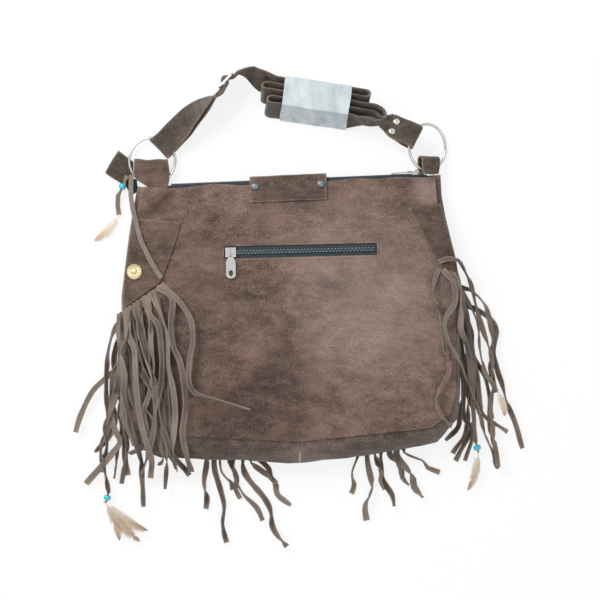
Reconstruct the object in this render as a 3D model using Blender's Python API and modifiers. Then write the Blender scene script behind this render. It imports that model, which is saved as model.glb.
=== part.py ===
"""A fringed suede shoulder bag that lies flat on its back face.

Metres, +Z up. The origin is on the flat underside, near the middle of the bag. X runs across the bag,
+Y points at the mouth and the strap, and the face with the zipped pocket looks up.
"""

import math

import bmesh
import bpy
from mathutils import Matrix, Vector

# Body of the bag
BAG_CENTRE_X = -0.011
BAG_WIDTH = 0.388
MOUTH_WIDTH = 0.346
MOUTH_SHIFT = -0.002
MOUTH_Y = 0.141
MOUTH_RISE = 0.0145
BASE_Y = -0.166
BASE_LEFT_RISE = 0.009
BASE_RIGHT_RISE = 0.019
BASE_CORNER_RADIUS = 0.040
SHOULDER_DROP = 0.035
MOUTH_HEIGHT = 0.0150
BASE_HEIGHT = 0.0380
DOME_RISE = 0.0070
PLATEAU = 0.55
BASE_BULGE = 0.027
SIDE_BULGE = 0.0065
BACK_INSET_SHARE = 0.55
PANEL_SUEDE = 0.0014
BACK_SUEDE = 0.0015
GUSSET_SUEDE = 0.0012
SEAM_ALLOWANCE = 0.003
CLEARANCE = 0.0003

# Facings, closure tab and loops
YOKE_SUEDE = 0.0014
TAB_WIDTH = 0.091
TAB_CENTRE_X = -0.014
TAB_REACH = 0.033
TAB_SUEDE = 0.0018
TAB_STUD_RADIUS = 0.0042
TAB_STUD_HEIGHT = 0.0018
LOOP_SUEDE = 0.0018

# Zips
POCKET_ZIP_LENGTH = 0.180
POCKET_SLOT_WIDTH = 0.0145
POCKET_ZIP_X = 0.0006
POCKET_ZIP_Y = 0.0580
POCKET_ZIP_TURN = math.radians(1.4)
POCKET_TOOTH_PITCH = 0.0045
TOP_TOOTH_PITCH = 0.0120
CHAIN_WIDTH = 0.0048
CHAIN_BASE = 0.0008
TOOTH_HEIGHT = 0.0009
TAPE_THICKNESS = 0.0006
TAPE_WIDTH = 0.012
SLIDER_LENGTH = 0.0125
SLIDER_WIDTH = 0.0112
SLIDER_WALL = 0.0011
BRIDGE_WIRE = 0.0007
BRIDGE_SPAN = 0.0082
PULL_LENGTH = 0.031
PULL_WIDTH = 0.0115
PULL_THICKNESS = 0.0014
PULL_EYE_WIDTH = 0.0062
TOP_ZIP_LENGTH = 0.306
TOP_SLIDER_INSET = 0.011
POCKET_DEPTH = 0.115
LINING_THICKNESS = 0.0005

# Rings and strap
RING_RADIUS = 0.0272
RING_WIRE = 0.00175
RING_LEFT_X = -0.1752
RING_LEFT_Y = 0.1652
RING_RIGHT_X = 0.1505
RING_RIGHT_Y = 0.1805
RING_RIGHT_TILT = math.radians(35.0)
RING_PLAY = 0.0005
STRAP_WIDTH = 0.030
STRAP_THICKNESS = 0.0018
FOLD_COUNT = 5
FOLD_PITCH = 0.0110
BUNDLE_X = 0.0189
BUNDLE_Y = 0.2325
BUNDLE_TURN = math.radians(-8.5)
SLEEVE_LENGTH = 0.079
SLEEVE_WALL = 0.0005
SLIDE_X = -0.0870
SLIDE_Y = 0.2580
SLIDE_TURN = math.radians(46.0)
SLIDE_PITCH = 0.0110
SLIDE_BAR = 0.0013
RIVET_RADIUS = 0.0036
RIVET_SHANK = 0.0015

# Trims
CONCHO_RADIUS = 0.0093
CONCHO_FLUTES = 14
BEAD_RADIUS = 0.0046
BEAD_HOLE = 0.0023
STRIP_WIDTH = 0.0070
STRIP_THICKNESS = 0.0014
STRIP_LAYER = 0.0019
FRINGE_HEADER = 0.006
FEATHER_THICKNESS = 0.0006

SUEDE = ("suede", (0.22, 0.16, 0.13), 0.95, 0.0)
DARK_SUEDE = ("dark_suede", (0.16, 0.12, 0.095), 0.95, 0.0)
STRIP_SUEDE = ("strip_suede", (0.20, 0.16, 0.135), 0.95, 0.0)
TAPE = ("zip_tape", (0.06, 0.08, 0.085), 0.8, 0.0)
LINING = ("lining", (0.08, 0.07, 0.06), 0.9, 0.0)
STEEL = ("plated_steel", (0.78, 0.77, 0.74), 0.28, 1.0)
GOLD = ("pale_gold", (0.75, 0.62, 0.38), 0.35, 1.0)
SLEEVE = ("sleeve", (0.62, 0.69, 0.70), 0.6, 0.0)
TURQUOISE = ("turquoise", (0.01, 0.52, 0.68), 0.25, 0.0)
FEATHER = ("feather", (0.62, 0.55, 0.46), 0.8, 0.0)


def clear_scene():
    for item in list(bpy.data.objects):
        bpy.data.objects.remove(item, do_unlink=True)


def new_collection(name):
    collection = bpy.data.collections.new(name)
    bpy.context.scene.collection.children.link(collection)
    return collection


def material(look):
    """The Principled material of a look: its name, colour, roughness and metallic value."""
    name, colour, roughness, metallic = look
    found = bpy.data.materials.get(name)
    if found:
        return found
    made = bpy.data.materials.new(name)
    made.use_nodes = True
    shader = made.node_tree.nodes["Principled BSDF"]
    shader.inputs["Base Color"].default_value = (*colour, 1.0)
    shader.inputs["Roughness"].default_value = roughness
    shader.inputs["Metallic"].default_value = metallic
    return made


def add_object(name, mesh_builder, look, smooth=True):
    """Link a bmesh as a named object of the bag."""
    mesh = bpy.data.meshes.new(name)
    mesh_builder.to_mesh(mesh)
    mesh_builder.free()
    made = bpy.data.objects.new(name, mesh)
    BAG.objects.link(made)
    mesh.materials.append(material(look))
    if smooth:
        mesh.shade_smooth()
        mesh.set_sharp_from_angle(angle=math.radians(40))
    return made


def add_solidify(made, thickness, offset=-1.0):
    """Give an open sheet its thickness; offset -1 keeps the modelled side as the outer face."""
    wall = made.modifiers.new("thickness", "SOLIDIFY")
    wall.thickness = thickness
    wall.offset = offset
    wall.use_even_offset = True
    return wall


def add_boolean(made, cutter, operation="DIFFERENCE"):
    cut = made.modifiers.new("cut", "BOOLEAN")
    cut.operation = operation
    cut.object = cutter
    return cut


def sheet(name, rows, thickness, look, offset=-1.0, closed=False):
    """An open sheet lofted through rows of points, with its thickness."""
    builder = bmesh.new()
    grid = [[builder.verts.new(point) for point in row] for row in rows]
    row_pairs = list(zip(grid, grid[1:]))
    if closed:
        row_pairs.append((grid[-1], grid[0]))
    for low, high in row_pairs:
        for k in range(len(low) - 1):
            builder.faces.new((low[k], low[k + 1], high[k + 1], high[k]))
    made = add_object(name, builder, look)
    add_solidify(made, thickness, offset)
    return made


def band(name, stations, thickness, look):
    """A flat band along stations of (centre, full-width vector), its thickness centred on them."""
    rows = [[centre - across / 2, centre + across / 2] for centre, across in stations]
    return sheet(name, rows, thickness, look, offset=0.0)


def rounded_path(corners, count):
    """An open path through (x, y, radius) corners, bends as arcs, in count equal pieces."""
    rough = [Vector(corners[0][:2])]
    for before, here, after in zip(corners, corners[1:], corners[2:]):
        corner = Vector(here[:2])
        back = (Vector(before[:2]) - corner).normalized()
        ahead = (Vector(after[:2]) - corner).normalized()
        half = back.angle(ahead) / 2
        reach = here[2] / math.tan(half)
        centre = corner + (back + ahead).normalized() * here[2] / math.sin(half)
        start = corner + back * reach - centre
        end = corner + ahead * reach - centre
        sweep = math.pi - 2 * half
        turn = math.copysign(sweep, start.x * end.y - start.y * end.x)
        for k in range(13):
            rough.append(centre + Matrix.Rotation(turn * k / 12, 2) @ start)
    rough.append(Vector(corners[-1][:2]))
    return evenly(rough, count)


def evenly(points, count):
    """The same open path as count equal pieces."""
    lengths = [0.0]
    for low, high in zip(points, points[1:]):
        lengths.append(lengths[-1] + (high - low).length)
    result = []
    place = 0
    for k in range(count + 1):
        wanted = lengths[-1] * k / count
        while place < len(points) - 2 and lengths[place + 1] < wanted:
            place += 1
        piece = lengths[place + 1] - lengths[place]
        share = (wanted - lengths[place]) / piece if piece > 0 else 0.0
        result.append(points[place].lerp(points[place + 1], min(max(share, 0.0), 1.0)))
    return result


def smooth_curve(points, pieces):
    """A Catmull-Rom curve through chosen points, with so many pieces between neighbours."""
    ends = [points[0] * 2 - points[1]] + list(points) + [points[-1] * 2 - points[-2]]
    result = []
    for a, b, c, d in zip(ends, ends[1:], ends[2:], ends[3:]):
        for k in range(pieces):
            t = k / pieces
            result.append(0.5 * (2 * b + (c - a) * t + (2 * a - 5 * b + 4 * c - d) * t * t
                                 + (3 * b - a - 3 * c + d) * t ** 3))
    result.append(points[-1].copy())
    return result


def thin_out(points, tolerance):
    """The path's points that its shape needs."""
    if len(points) < 3:
        return list(points)
    first, last = points[0], points[-1]
    chord = last - first
    worst, place = 0.0, 0
    for k in range(1, len(points) - 1):
        arm = points[k] - first
        share = min(max(arm.dot(chord) / max(chord.length_squared, 1e-12), 0.0), 1.0)
        gap = (arm - chord * share).length
        if gap > worst:
            worst, place = gap, k
    if worst <= tolerance:
        return [first, last]
    return thin_out(points[:place + 1], tolerance)[:-1] + thin_out(points[place:], tolerance)


# The bag's outline in plan, and the height of its skin

MOUTH_LEFT = Vector((BAG_CENTRE_X + MOUTH_SHIFT - MOUTH_WIDTH / 2, MOUTH_Y - MOUTH_RISE / 2))
MOUTH_RIGHT = Vector((BAG_CENTRE_X + MOUTH_SHIFT + MOUTH_WIDTH / 2, MOUTH_Y + MOUTH_RISE / 2))
BASE_MIDDLE = Vector((0.0, BASE_Y))
SIDE_LEFT_X = BAG_CENTRE_X - BAG_WIDTH / 2
SIDE_RIGHT_X = BAG_CENTRE_X + BAG_WIDTH / 2
RIM_RIGHT = rounded_path([
    (*MOUTH_RIGHT, 0.0),
    (MOUTH_RIGHT.x + 0.002, MOUTH_RIGHT.y - SHOULDER_DROP, 0.05),
    (SIDE_RIGHT_X, 0.030, 0.12),
    (SIDE_RIGHT_X, BASE_Y + BASE_RIGHT_RISE, BASE_CORNER_RADIUS),
    (*BASE_MIDDLE, 0.0),
], 18)
RIM_LEFT = rounded_path([
    (*BASE_MIDDLE, 0.0),
    (SIDE_LEFT_X, BASE_Y + BASE_LEFT_RISE, BASE_CORNER_RADIUS),
    (SIDE_LEFT_X, 0.010, 0.20),
    (MOUTH_LEFT.x - 0.007, MOUTH_LEFT.y - SHOULDER_DROP, 0.10),
    (*MOUTH_LEFT, 0.0),
], 18)
MOUTH_EDGE = evenly([MOUTH_LEFT, MOUTH_RIGHT], 12)
RIM = MOUTH_EDGE[:-1] + RIM_RIGHT[:-1] + RIM_LEFT[:-1]
MIDDLE = Vector((BAG_CENTRE_X, -0.010))


def bulge_at(y):
    """How far the gusset stands out beyond the seam, more at the base than at the sides."""
    share = min(max((BASE_Y + 0.045 - y) / 0.040, 0.0), 1.0)
    return SIDE_BULGE + (BASE_BULGE - SIDE_BULGE) * share


def rim_height(y):
    """The seam's height: low at the mouth, high at the base."""
    return MOUTH_HEIGHT + (BASE_HEIGHT - MOUTH_HEIGHT) * (MOUTH_Y - y) / (MOUTH_Y - BASE_Y)


def dome(share):
    """The upper panel's rise over its seam: level in the middle, falling off to the seam."""
    edge = max(share - PLATEAU, 0.0) / (1.0 - PLATEAU)
    return DOME_RISE * (1.0 - edge ** 2)


def rim_distance(direction):
    """The seam's distance from the middle of the bag in one direction."""
    farthest = 0.0
    for low, high in zip(RIM, RIM[1:] + RIM[:1]):
        a = low - MIDDLE
        edge = high - low
        across = direction.x * edge.y - direction.y * edge.x
        if abs(across) < 1e-12:
            continue
        reach = (a.x * edge.y - a.y * edge.x) / across
        share = (a.x * direction.y - a.y * direction.x) / across
        if reach > 0 and -1e-6 <= share <= 1 + 1e-6:
            farthest = max(farthest, reach)
    return farthest


def skin_height(x, y, run=0.0):
    """Height of the closed bag's upper skin; beyond the bulge it falls away over a drape's run."""
    arm = Vector((x, y)) - MIDDLE
    if arm.length < 1e-6:
        return rim_height(y) + DOME_RISE
    seam = rim_distance(arm.normalized())
    beyond = arm.length - seam
    if beyond <= 0:
        return rim_height(y) + dome(arm.length / seam)
    bulge = bulge_at(y)
    height = rim_height(y)
    skin = 0.0
    if beyond < bulge:
        skin = height / 2 * (1 + math.sqrt(1 - (beyond / bulge) ** 2))
    if run > 0 and beyond < bulge + run:
        skin = max(skin, height * (0.5 + 0.5 * math.cos(math.pi * beyond / (bulge + run))))
    return skin


def on_skin(x, y, lift):
    """A frame that lies on the skin at a place in plan, its Z square to the skin."""
    step = 0.004
    slope_x = (skin_height(x + step, y) - skin_height(x - step, y)) / (2 * step)
    slope_y = (skin_height(x, y + step) - skin_height(x, y - step)) / (2 * step)
    normal = Vector((-slope_x, -slope_y, 1.0)).normalized()
    turn = normal.to_track_quat("Z", "Y").to_matrix().to_4x4()
    return Matrix.Translation(Vector((x, y, skin_height(x, y))) + normal * lift) @ turn


def rest_height(x, y, half_width, table_level, lift):
    """Height of the middle of a strip that lies on the bag or, beyond it, on the table."""
    spots = ((0, 0), (half_width, 0), (-half_width, 0), (0, half_width), (0, -half_width))
    skin = max(skin_height(x + dx, y + dy, DRAPE_RUN) for dx, dy in spots)
    return max(skin + lift, table_level)


DRAPE_RUN = 0.030


# Body panels

def outward(points, k):
    """The outline's outward normal at one of its points."""
    along = points[min(k + 1, len(points) - 1)] - points[max(k - 1, 0)]
    return Vector((-along.y, along.x)).normalized()


def domed_panel(name, rings, height_at, thickness, look):
    """A panel of rings of points round the middle of the bag."""
    builder = bmesh.new()
    loops = []
    for share in rings:
        loop = []
        for point in RIM:
            spot = MIDDLE + (point - MIDDLE) * share
            loop.append(builder.verts.new((spot.x, spot.y, height_at(spot.y, share))))
        loops.append(loop)
    centre = builder.verts.new((MIDDLE.x, MIDDLE.y, height_at(MIDDLE.y, 0.0)))
    count = len(RIM)
    for outer, inner in zip(loops, loops[1:]):
        for k in range(count):
            ahead = (k + 1) % count
            builder.faces.new((outer[k], inner[k], inner[ahead], outer[ahead]))
    for k in range(count):
        builder.faces.new((loops[-1][k], centre, loops[-1][(k + 1) % count]))
    bmesh.ops.recalc_face_normals(builder, faces=builder.faces)
    if builder.faces[0].normal.z < 0:
        bmesh.ops.reverse_faces(builder, faces=builder.faces)
    made = add_object(name, builder, look)
    add_solidify(made, thickness)
    return made


def make_front_panel():
    """The upper panel, with the slot that the pocket zip is sewn behind."""
    panel = domed_panel("front_panel", (1.0, 0.94, 0.86, 0.76, 0.64, 0.50, 0.25),
                        lambda y, share: rim_height(y) + dome(share), PANEL_SUEDE, SUEDE)
    bpy.ops.mesh.primitive_cube_add(size=1.0)
    slot = bpy.context.object
    slot.name = "pocket_slot_cutter"
    slot.dimensions = (POCKET_ZIP_LENGTH, POCKET_SLOT_WIDTH, 0.02)
    slot.matrix_world = POCKET_ZIP_FRAME @ Matrix.Diagonal((*slot.scale, 1.0))
    hide_cutter(slot)
    add_boolean(panel, slot)


def hide_cutter(cutter):
    for owner in list(cutter.users_collection):
        owner.objects.unlink(cutter)
    CUTTERS.objects.link(cutter)
    cutter.hide_render = True
    cutter.display_type = "WIRE"


def make_back_panel():
    """The flat panel the bag lies on. It follows the gusset's lower seam."""
    builder = bmesh.new()
    loop = []
    for point in back_outline():
        loop.append(builder.verts.new((point.x, point.y, BACK_SUEDE)))
    face = builder.faces.new(loop)
    face.normal_update()
    if face.normal.z < 0:
        face.normal_flip()
    panel = add_object("back_panel", builder, SUEDE)
    add_solidify(panel, BACK_SUEDE)


def back_outline():
    """Plan of the lower seam: the upper seam, let out by a share of the gusset's bulge."""
    points = list(MOUTH_EDGE[:-1])
    for side in (RIM_RIGHT[:-1], RIM_LEFT[:-1]):
        for k, point in enumerate(side):
            points.append(point + outward(side, k) * bulge_at(point.y) * BACK_INSET_SHARE)
    return points


def gusset_section(point, normal):
    """One section of the side band, from the lower seam round its bulge to the upper seam."""
    bulge = bulge_at(point.y)
    back = bulge * BACK_INSET_SHARE
    low = BACK_SUEDE + CLEARANCE
    high = rim_height(point.y) - PANEL_SUEDE - CLEARANCE
    turned = [(back - SEAM_ALLOWANCE, low)]
    for k in range(7):
        angle = math.radians(-90 + 30 * k)
        out = (bulge - back / 2) * math.cos(angle) + back * (1 - math.sin(angle)) / 2
        turned.append((out, low + (high - low) * (1 + math.sin(angle)) / 2))
    turned.append((-SEAM_ALLOWANCE, high))
    return [Vector((*(point + normal * out), height)) for out, height in turned]


def make_gussets():
    """The two halves of the side and bottom band, which meet at the middle of the base."""
    for name, side, gap_end in (("gusset_right", RIM_RIGHT, -1), ("gusset_left", RIM_LEFT, 0)):
        rows = [gusset_section(point, outward(side, k)) for k, point in enumerate(side)]
        rows[gap_end] = gusset_section(side[gap_end], Vector((0.0, -1.0)))
        shift = Vector((CLEARANCE if gap_end else -CLEARANCE, 0.0, 0.0))
        rows[gap_end] = [spot + shift for spot in rows[gap_end]]
        sheet(name, rows, GUSSET_SUEDE, SUEDE)


def facing(name, inner_edge, outer_edge, columns):
    """A dark facing that lies on the skin between its inner and its outer edge."""
    rows = []
    for inner, outer in zip(evenly(inner_edge, 10), evenly(outer_edge, 10)):
        row = []
        for k in range(columns + 1):
            spot = inner.lerp(outer, k / columns)
            skin = max(skin_height(spot.x + dx, spot.y) for dx in (-0.003, 0.0, 0.003))
            height = skin + CLEARANCE + YOKE_SUEDE + FACING_SLACK
            row.append(Vector((spot.x, spot.y, height)))
        rows.append(row)
    made = sheet(name, rows, YOKE_SUEDE, DARK_SUEDE)
    return made


FACING_SLACK = 0.0005
YOKE_LEFT_INNER = [Vector(p) for p in ((-0.1416, 0.0917), (-0.1440, 0.0779), (-0.1493, 0.0614),
                                       (-0.1581, 0.0366), (-0.1645, 0.0215))]
YOKE_LEFT_OUTER = [Vector(p) for p in ((-0.1965, 0.0968), (-0.2010, 0.0700), (-0.2050, 0.0400),
                                       (-0.2075, 0.0150), (-0.2080, -0.0100))]
YOKE_RIGHT_INNER = [Vector(p) for p in ((0.1281, 0.1086), (0.1440, 0.0790), (0.1567, 0.0531),
                                        (0.1660, 0.0360))]
YOKE_RIGHT_OUTER = [Vector(p) for p in ((0.1660, 0.1140), (0.1740, 0.0850), (0.1815, 0.0560),
                                        (0.1870, 0.0300))]


def make_facings():
    facing("yoke_left", YOKE_LEFT_INNER, YOKE_LEFT_OUTER, 8)
    facing("yoke_right", YOKE_RIGHT_OUTER, YOKE_RIGHT_INNER, 6)


def make_closure_tab():
    """The tab: sewn to the back panel's edge, round the zip and over on to the upper panel."""
    centre = TOP_ZIP_FRAME.inverted() @ Vector((TAB_CENTRE_X, MOUTH_Y, 0.0))
    rows = []
    for side in (-0.5, -0.25, 0.0, 0.25, 0.5):
        x = centre.x + side * TAB_WIDTH
        edge = TOP_ZIP_FRAME @ Vector((x, 0.0, 0.0))
        front = TAB_STANDOFF
        profile = [(TAPE_SEAT + TAPE_THICKNESS + CLEARANCE * 2, CLEARANCE), (front - 0.0015, 0.0010), (front, 0.0050),
                   (front, 0.0120), (front - 0.0012, MOUTH_HEIGHT + 0.0018)]
        row = [Vector((edge.x, edge.y + out, height)) for out, height in profile]
        for back in (0.001, 0.008, 0.016, TAB_REACH - 0.007):
            y = edge.y - back
            row.append(Vector((edge.x, y, skin_height(edge.x, y) + CLEARANCE * 2 + TAB_SUEDE)))
        rows.append(row)
    sheet("closure_tab", rows, TAB_SUEDE, DARK_SUEDE)


def make_tab_studs():
    """The two small metal studs that show near the tab's upper corners."""
    for name, side in (("tab_stud_left", -1), ("tab_stud_right", 1)):
        x = TAB_CENTRE_X + side * (TAB_WIDTH / 2 - 0.0065)
        y = MOUTH_Y + (x - MOUTH_LEFT.x) * MOUTH_RISE / MOUTH_WIDTH - 0.013
        frame = on_skin(x, y, TAB_SUEDE + CLEARANCE * 5)
        profile = [(0.0, TAB_STUD_HEIGHT), (TAB_STUD_RADIUS * 0.6, TAB_STUD_HEIGHT * 0.9),
                   (TAB_STUD_RADIUS, TAB_STUD_HEIGHT * 0.4), (TAB_STUD_RADIUS, 0.0), (0.0, 0.0)]
        stud = turned(name, profile, STEEL, 16)
        stud.matrix_world = frame


def turned(name, profile, look, steps):
    """A solid of revolution about Z from an (r, z) profile that runs from its top to its bottom."""
    builder = bmesh.new()
    spots = [builder.verts.new((radius, 0.0, height)) for radius, height in profile]
    for low, high in zip(spots, spots[1:]):
        builder.edges.new((low, high))
    made = add_object(name, builder, look, smooth=False)
    turn = made.modifiers.new("turned", "SCREW")
    turn.steps = steps
    turn.render_steps = steps
    turn.use_merge_vertices = True
    turn.merge_threshold = 0.00002
    turn.use_smooth_shade = False
    return made


# Zips

MOUTH_ANGLE = math.atan2(MOUTH_RISE, MOUTH_WIDTH)
MOUTH_GAP = (rim_height(MOUTH_RIGHT.y) - PANEL_SUEDE - BACK_SUEDE) / 2
CHAIN_SEAT = PANEL_SUEDE
TAPE_SEAT = -(PANEL_SUEDE + CLEARANCE + TAPE_THICKNESS)
SLIDER_FLOOR = CHAIN_BASE + TOOTH_HEIGHT - CHAIN_SEAT + CLEARANCE
TAB_STANDOFF = 0.0050
PANEL_SLOPE = math.atan2(BASE_HEIGHT - MOUTH_HEIGHT, MOUTH_Y - BASE_Y)
TOP_ZIP_SHIFT = 0.010
TOP_ZIP_PROUD = 0.0022
POCKET_ZIP_FRAME = (
    Matrix.Translation((POCKET_ZIP_X, POCKET_ZIP_Y, skin_height(POCKET_ZIP_X, POCKET_ZIP_Y)))
    @ Matrix.Rotation(-PANEL_SLOPE, 4, "X") @ Matrix.Rotation(POCKET_ZIP_TURN, 4, "Z"))
TOP_ZIP_FRAME = (
    Matrix.Translation((MOUTH_LEFT.x + MOUTH_WIDTH / 2, MOUTH_Y + TOP_ZIP_PROUD,
                        BACK_SUEDE + MOUTH_GAP))
    @ Matrix.Rotation(MOUTH_ANGLE, 4, "Z") @ Matrix.Rotation(math.radians(-90), 4, "X"))


def framed(name, frame):
    """An empty that carries the pieces of one zip."""
    carrier = bpy.data.objects.new(name, None)
    BAG.objects.link(carrier)
    carrier.matrix_world = frame
    return carrier


def make_chain(name, length, pitch, carrier, shift=0.0):
    """The closed chain: a flat base with the two interlocked rows of teeth standing on it."""
    builder = bmesh.new()
    count = int(length / pitch)
    start = shift - count * pitch / 2
    rows = []
    for k in range(count * 2 + 1):
        x = start + k * pitch / 2
        rows.append([builder.verts.new((x, y, -CHAIN_SEAT + CHAIN_BASE))
                     for y in (-CHAIN_WIDTH / 2, 0.0, CHAIN_WIDTH / 2)])
    teeth = []
    for k, (low, high) in enumerate(zip(rows, rows[1:])):
        near = builder.faces.new((low[0], high[0], high[1], low[1]))
        far = builder.faces.new((low[1], high[1], high[2], low[2]))
        teeth.append(near if k % 2 else far)
    rim = [edge for edge in builder.edges if edge.is_boundary]
    skirt = bmesh.ops.extrude_edge_only(builder, edges=rim)["geom"]
    floor = [item for item in skirt if isinstance(item, bmesh.types.BMVert)]
    bmesh.ops.translate(builder, verts=floor, vec=(0.0, 0.0, -CHAIN_BASE))
    lower = [edge for edge in builder.edges if edge.is_boundary]
    bmesh.ops.contextual_create(builder, geom=lower)
    raised = bmesh.ops.extrude_discrete_faces(builder, faces=teeth)["faces"]
    for face in raised:
        middle = face.calc_center_median()
        for vert in face.verts:
            vert.co = middle + (vert.co - middle) * 0.8 + Vector((0.0, 0.0, TOOTH_HEIGHT))
    bmesh.ops.recalc_face_normals(builder, faces=builder.faces)
    chain = add_object(name, builder, STEEL, smooth=False)
    chain.parent = carrier


def make_flat_tapes(carrier):
    """The pocket zip's two tapes, sewn behind the slot."""
    half = POCKET_ZIP_LENGTH / 2 + 0.004
    for name, side in (("pocket_zip_tape_lower", -1), ("pocket_zip_tape_upper", 1)):
        low, high = sorted((side * CLEARANCE, side * (CLEARANCE + TAPE_WIDTH)))
        level = -(PANEL_SUEDE + CLEARANCE)
        rows = [[Vector((-half, y, level)), Vector((half, y, level))] for y in (low, high)]
        tape = sheet(name, rows, TAPE_THICKNESS, TAPE)
        tape.parent = carrier


def make_mouth_tapes(carrier):
    """The mouth's two tapes: each stands from the chain to its panel and turns in behind it."""
    half = TOP_ZIP_LENGTH / 2
    seat = TAPE_SEAT + TAPE_THICKNESS / 2
    leg = MOUTH_GAP - CLEARANCE - TAPE_THICKNESS / 2
    for name, side in (("top_zip_tape_front", -1), ("top_zip_tape_back", 1)):
        profile = [(side * (CLEARANCE + TAPE_THICKNESS / 4), seat), (side * leg, seat),
                   (side * leg, seat - 0.010)]
        rows = [[Vector((TOP_ZIP_SHIFT - half, y, z)), Vector((TOP_ZIP_SHIFT + half, y, z))]
                for y, z in profile]
        tape = sheet(name, rows, TAPE_THICKNESS, TAPE, offset=0.0)
        tape.parent = carrier


def make_slider(name, carrier, x, turn):
    """A slider: a channel over the chain, and the bridge that the pull hangs on."""
    half = SLIDER_WIDTH / 2
    top = SLIDER_FLOOR + SLIDER_WALL
    foot = -(PANEL_SUEDE - CLEARANCE)
    inner = half - SLIDER_WALL
    section = [(-half, foot), (-inner, foot), (-inner, SLIDER_FLOOR), (inner, SLIDER_FLOOR),
               (inner, foot), (half, foot), (half, top - 0.0006), (half - 0.0012, top),
               (0.0012 - half, top), (-half, top - 0.0006)]
    builder = bmesh.new()
    face = builder.faces.new([builder.verts.new((-SLIDER_LENGTH / 2, y, z)) for y, z in section])
    moved = bmesh.ops.extrude_face_region(builder, geom=[face])["geom"]
    ends = [item for item in moved if isinstance(item, bmesh.types.BMVert)]
    bmesh.ops.translate(builder, verts=ends, vec=(SLIDER_LENGTH, 0.0, 0.0))
    bmesh.ops.recalc_face_normals(builder, faces=builder.faces)
    slider = add_object(name, builder, STEEL, smooth=False)
    slider.parent = carrier
    slider.location = (x, 0.0, 0.0)
    bridge = wire_mesh(name + "_bridge", bridge_path(top), BRIDGE_WIRE)
    bridge.parent = slider
    bridge.rotation_euler.z = turn
    hide_cutter(bridge)
    add_boolean(slider, bridge, "UNION")
    return slider


def bridge_path(top):
    half = BRIDGE_SPAN / 2 - BRIDGE_WIRE
    crown = top + BRIDGE_RISE
    return [Vector((-half, 0.0, top - 0.0005)), Vector((-half, 0.0, crown - 0.0008)),
            Vector((-half * 0.75, 0.0, crown)), Vector((half * 0.75, 0.0, crown)),
            Vector((half, 0.0, crown - 0.0008)), Vector((half, 0.0, top - 0.0005))]


BRIDGE_RISE = 0.0031


def wire_mesh(name, points, radius, cyclic=False):
    """A round wire along points, as a closed mesh."""
    curve = bpy.data.curves.new(name + "_path", "CURVE")
    curve.dimensions = "3D"
    curve.bevel_depth = radius
    curve.bevel_resolution = 2
    curve.use_fill_caps = not cyclic
    spline = curve.splines.new("POLY")
    spline.points.add(len(points) - 1)
    for spot, point in zip(spline.points, points):
        spot.co = (*point, 1.0)
    spline.use_cyclic_u = cyclic
    guide = bpy.data.objects.new(name + "_guide", curve)
    bpy.context.scene.collection.objects.link(guide)
    bpy.context.view_layer.update()
    mesh = bpy.data.meshes.new_from_object(guide.evaluated_get(bpy.context.evaluated_depsgraph_get()))
    bpy.data.objects.remove(guide, do_unlink=True)
    builder = bmesh.new()
    builder.from_mesh(mesh)
    bmesh.ops.remove_doubles(builder, verts=builder.verts, dist=0.00001)
    bmesh.ops.recalc_face_normals(builder, faces=builder.faces)
    bpy.data.meshes.remove(mesh)
    return add_object(name, builder, STEEL)


def make_pull(name, carrier, x, turn):
    """A pull: a rounded plate with an eye round the bridge and an oval hole near its free end."""
    top = SLIDER_FLOOR + SLIDER_WALL
    axis = top + 0.0012
    rest = CHAIN_BASE + TOOTH_HEIGHT - CHAIN_SEAT + CLEARANCE
    drop = math.asin((axis - PULL_THICKNESS / 2 - rest) / PULL_LENGTH)
    eye_half, half = PULL_EYE_WIDTH / 2, PULL_WIDTH / 2
    neck = 0.0075
    outline = [(0.0006, eye_half - 0.0006), (0.0, eye_half), (-neck + 0.001, eye_half)]
    outline += [(-neck - 0.004, half)]
    for k in range(7):
        angle = math.radians(15 + 25 * k)
        outline.append((-PULL_LENGTH + half * 0.7 - half * 0.7 * math.sin(angle), half * math.cos(angle)))
    outline += [(-neck - 0.004, -half), (-neck + 0.001, -eye_half), (0.0, -eye_half),
                (0.0006, -eye_half + 0.0006)]
    hole = oval(-PULL_LENGTH + 0.0062, 0.0, 0.0036, 0.0026, 12)
    eye = [(-0.0007, 0.0018), (-0.0007, -0.0018), (-EYE_REACH, -0.0018), (-EYE_REACH, 0.0018)]
    curve = bpy.data.curves.new(name + "_outline", "CURVE")
    curve.dimensions = "2D"
    curve.fill_mode = "BOTH"
    curve.extrude = PULL_THICKNESS / 2
    for loop in (outline, hole, eye):
        spline = curve.splines.new("POLY")
        spline.points.add(len(loop) - 1)
        for spot, (px, py) in zip(spline.points, loop):
            spot.co = (px, py, 0.0, 1.0)
        spline.use_cyclic_u = True
    pull = bpy.data.objects.new(name, curve)
    BAG.objects.link(pull)
    curve.materials.append(material(STEEL))
    hinge = bpy.data.objects.new(name + "_hinge", None)
    BAG.objects.link(hinge)
    hinge.parent = carrier
    hinge.location = (x, 0.0, axis)
    hinge.rotation_euler.z = turn
    pull.parent = hinge
    pull.rotation_euler.y = -drop


EYE_REACH = 0.0056


def oval(x, y, half_x, half_y, count):
    return [(x + half_x * math.cos(2 * math.pi * k / count), y + half_y * math.sin(2 * math.pi * k / count))
            for k in range(count)]


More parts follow.
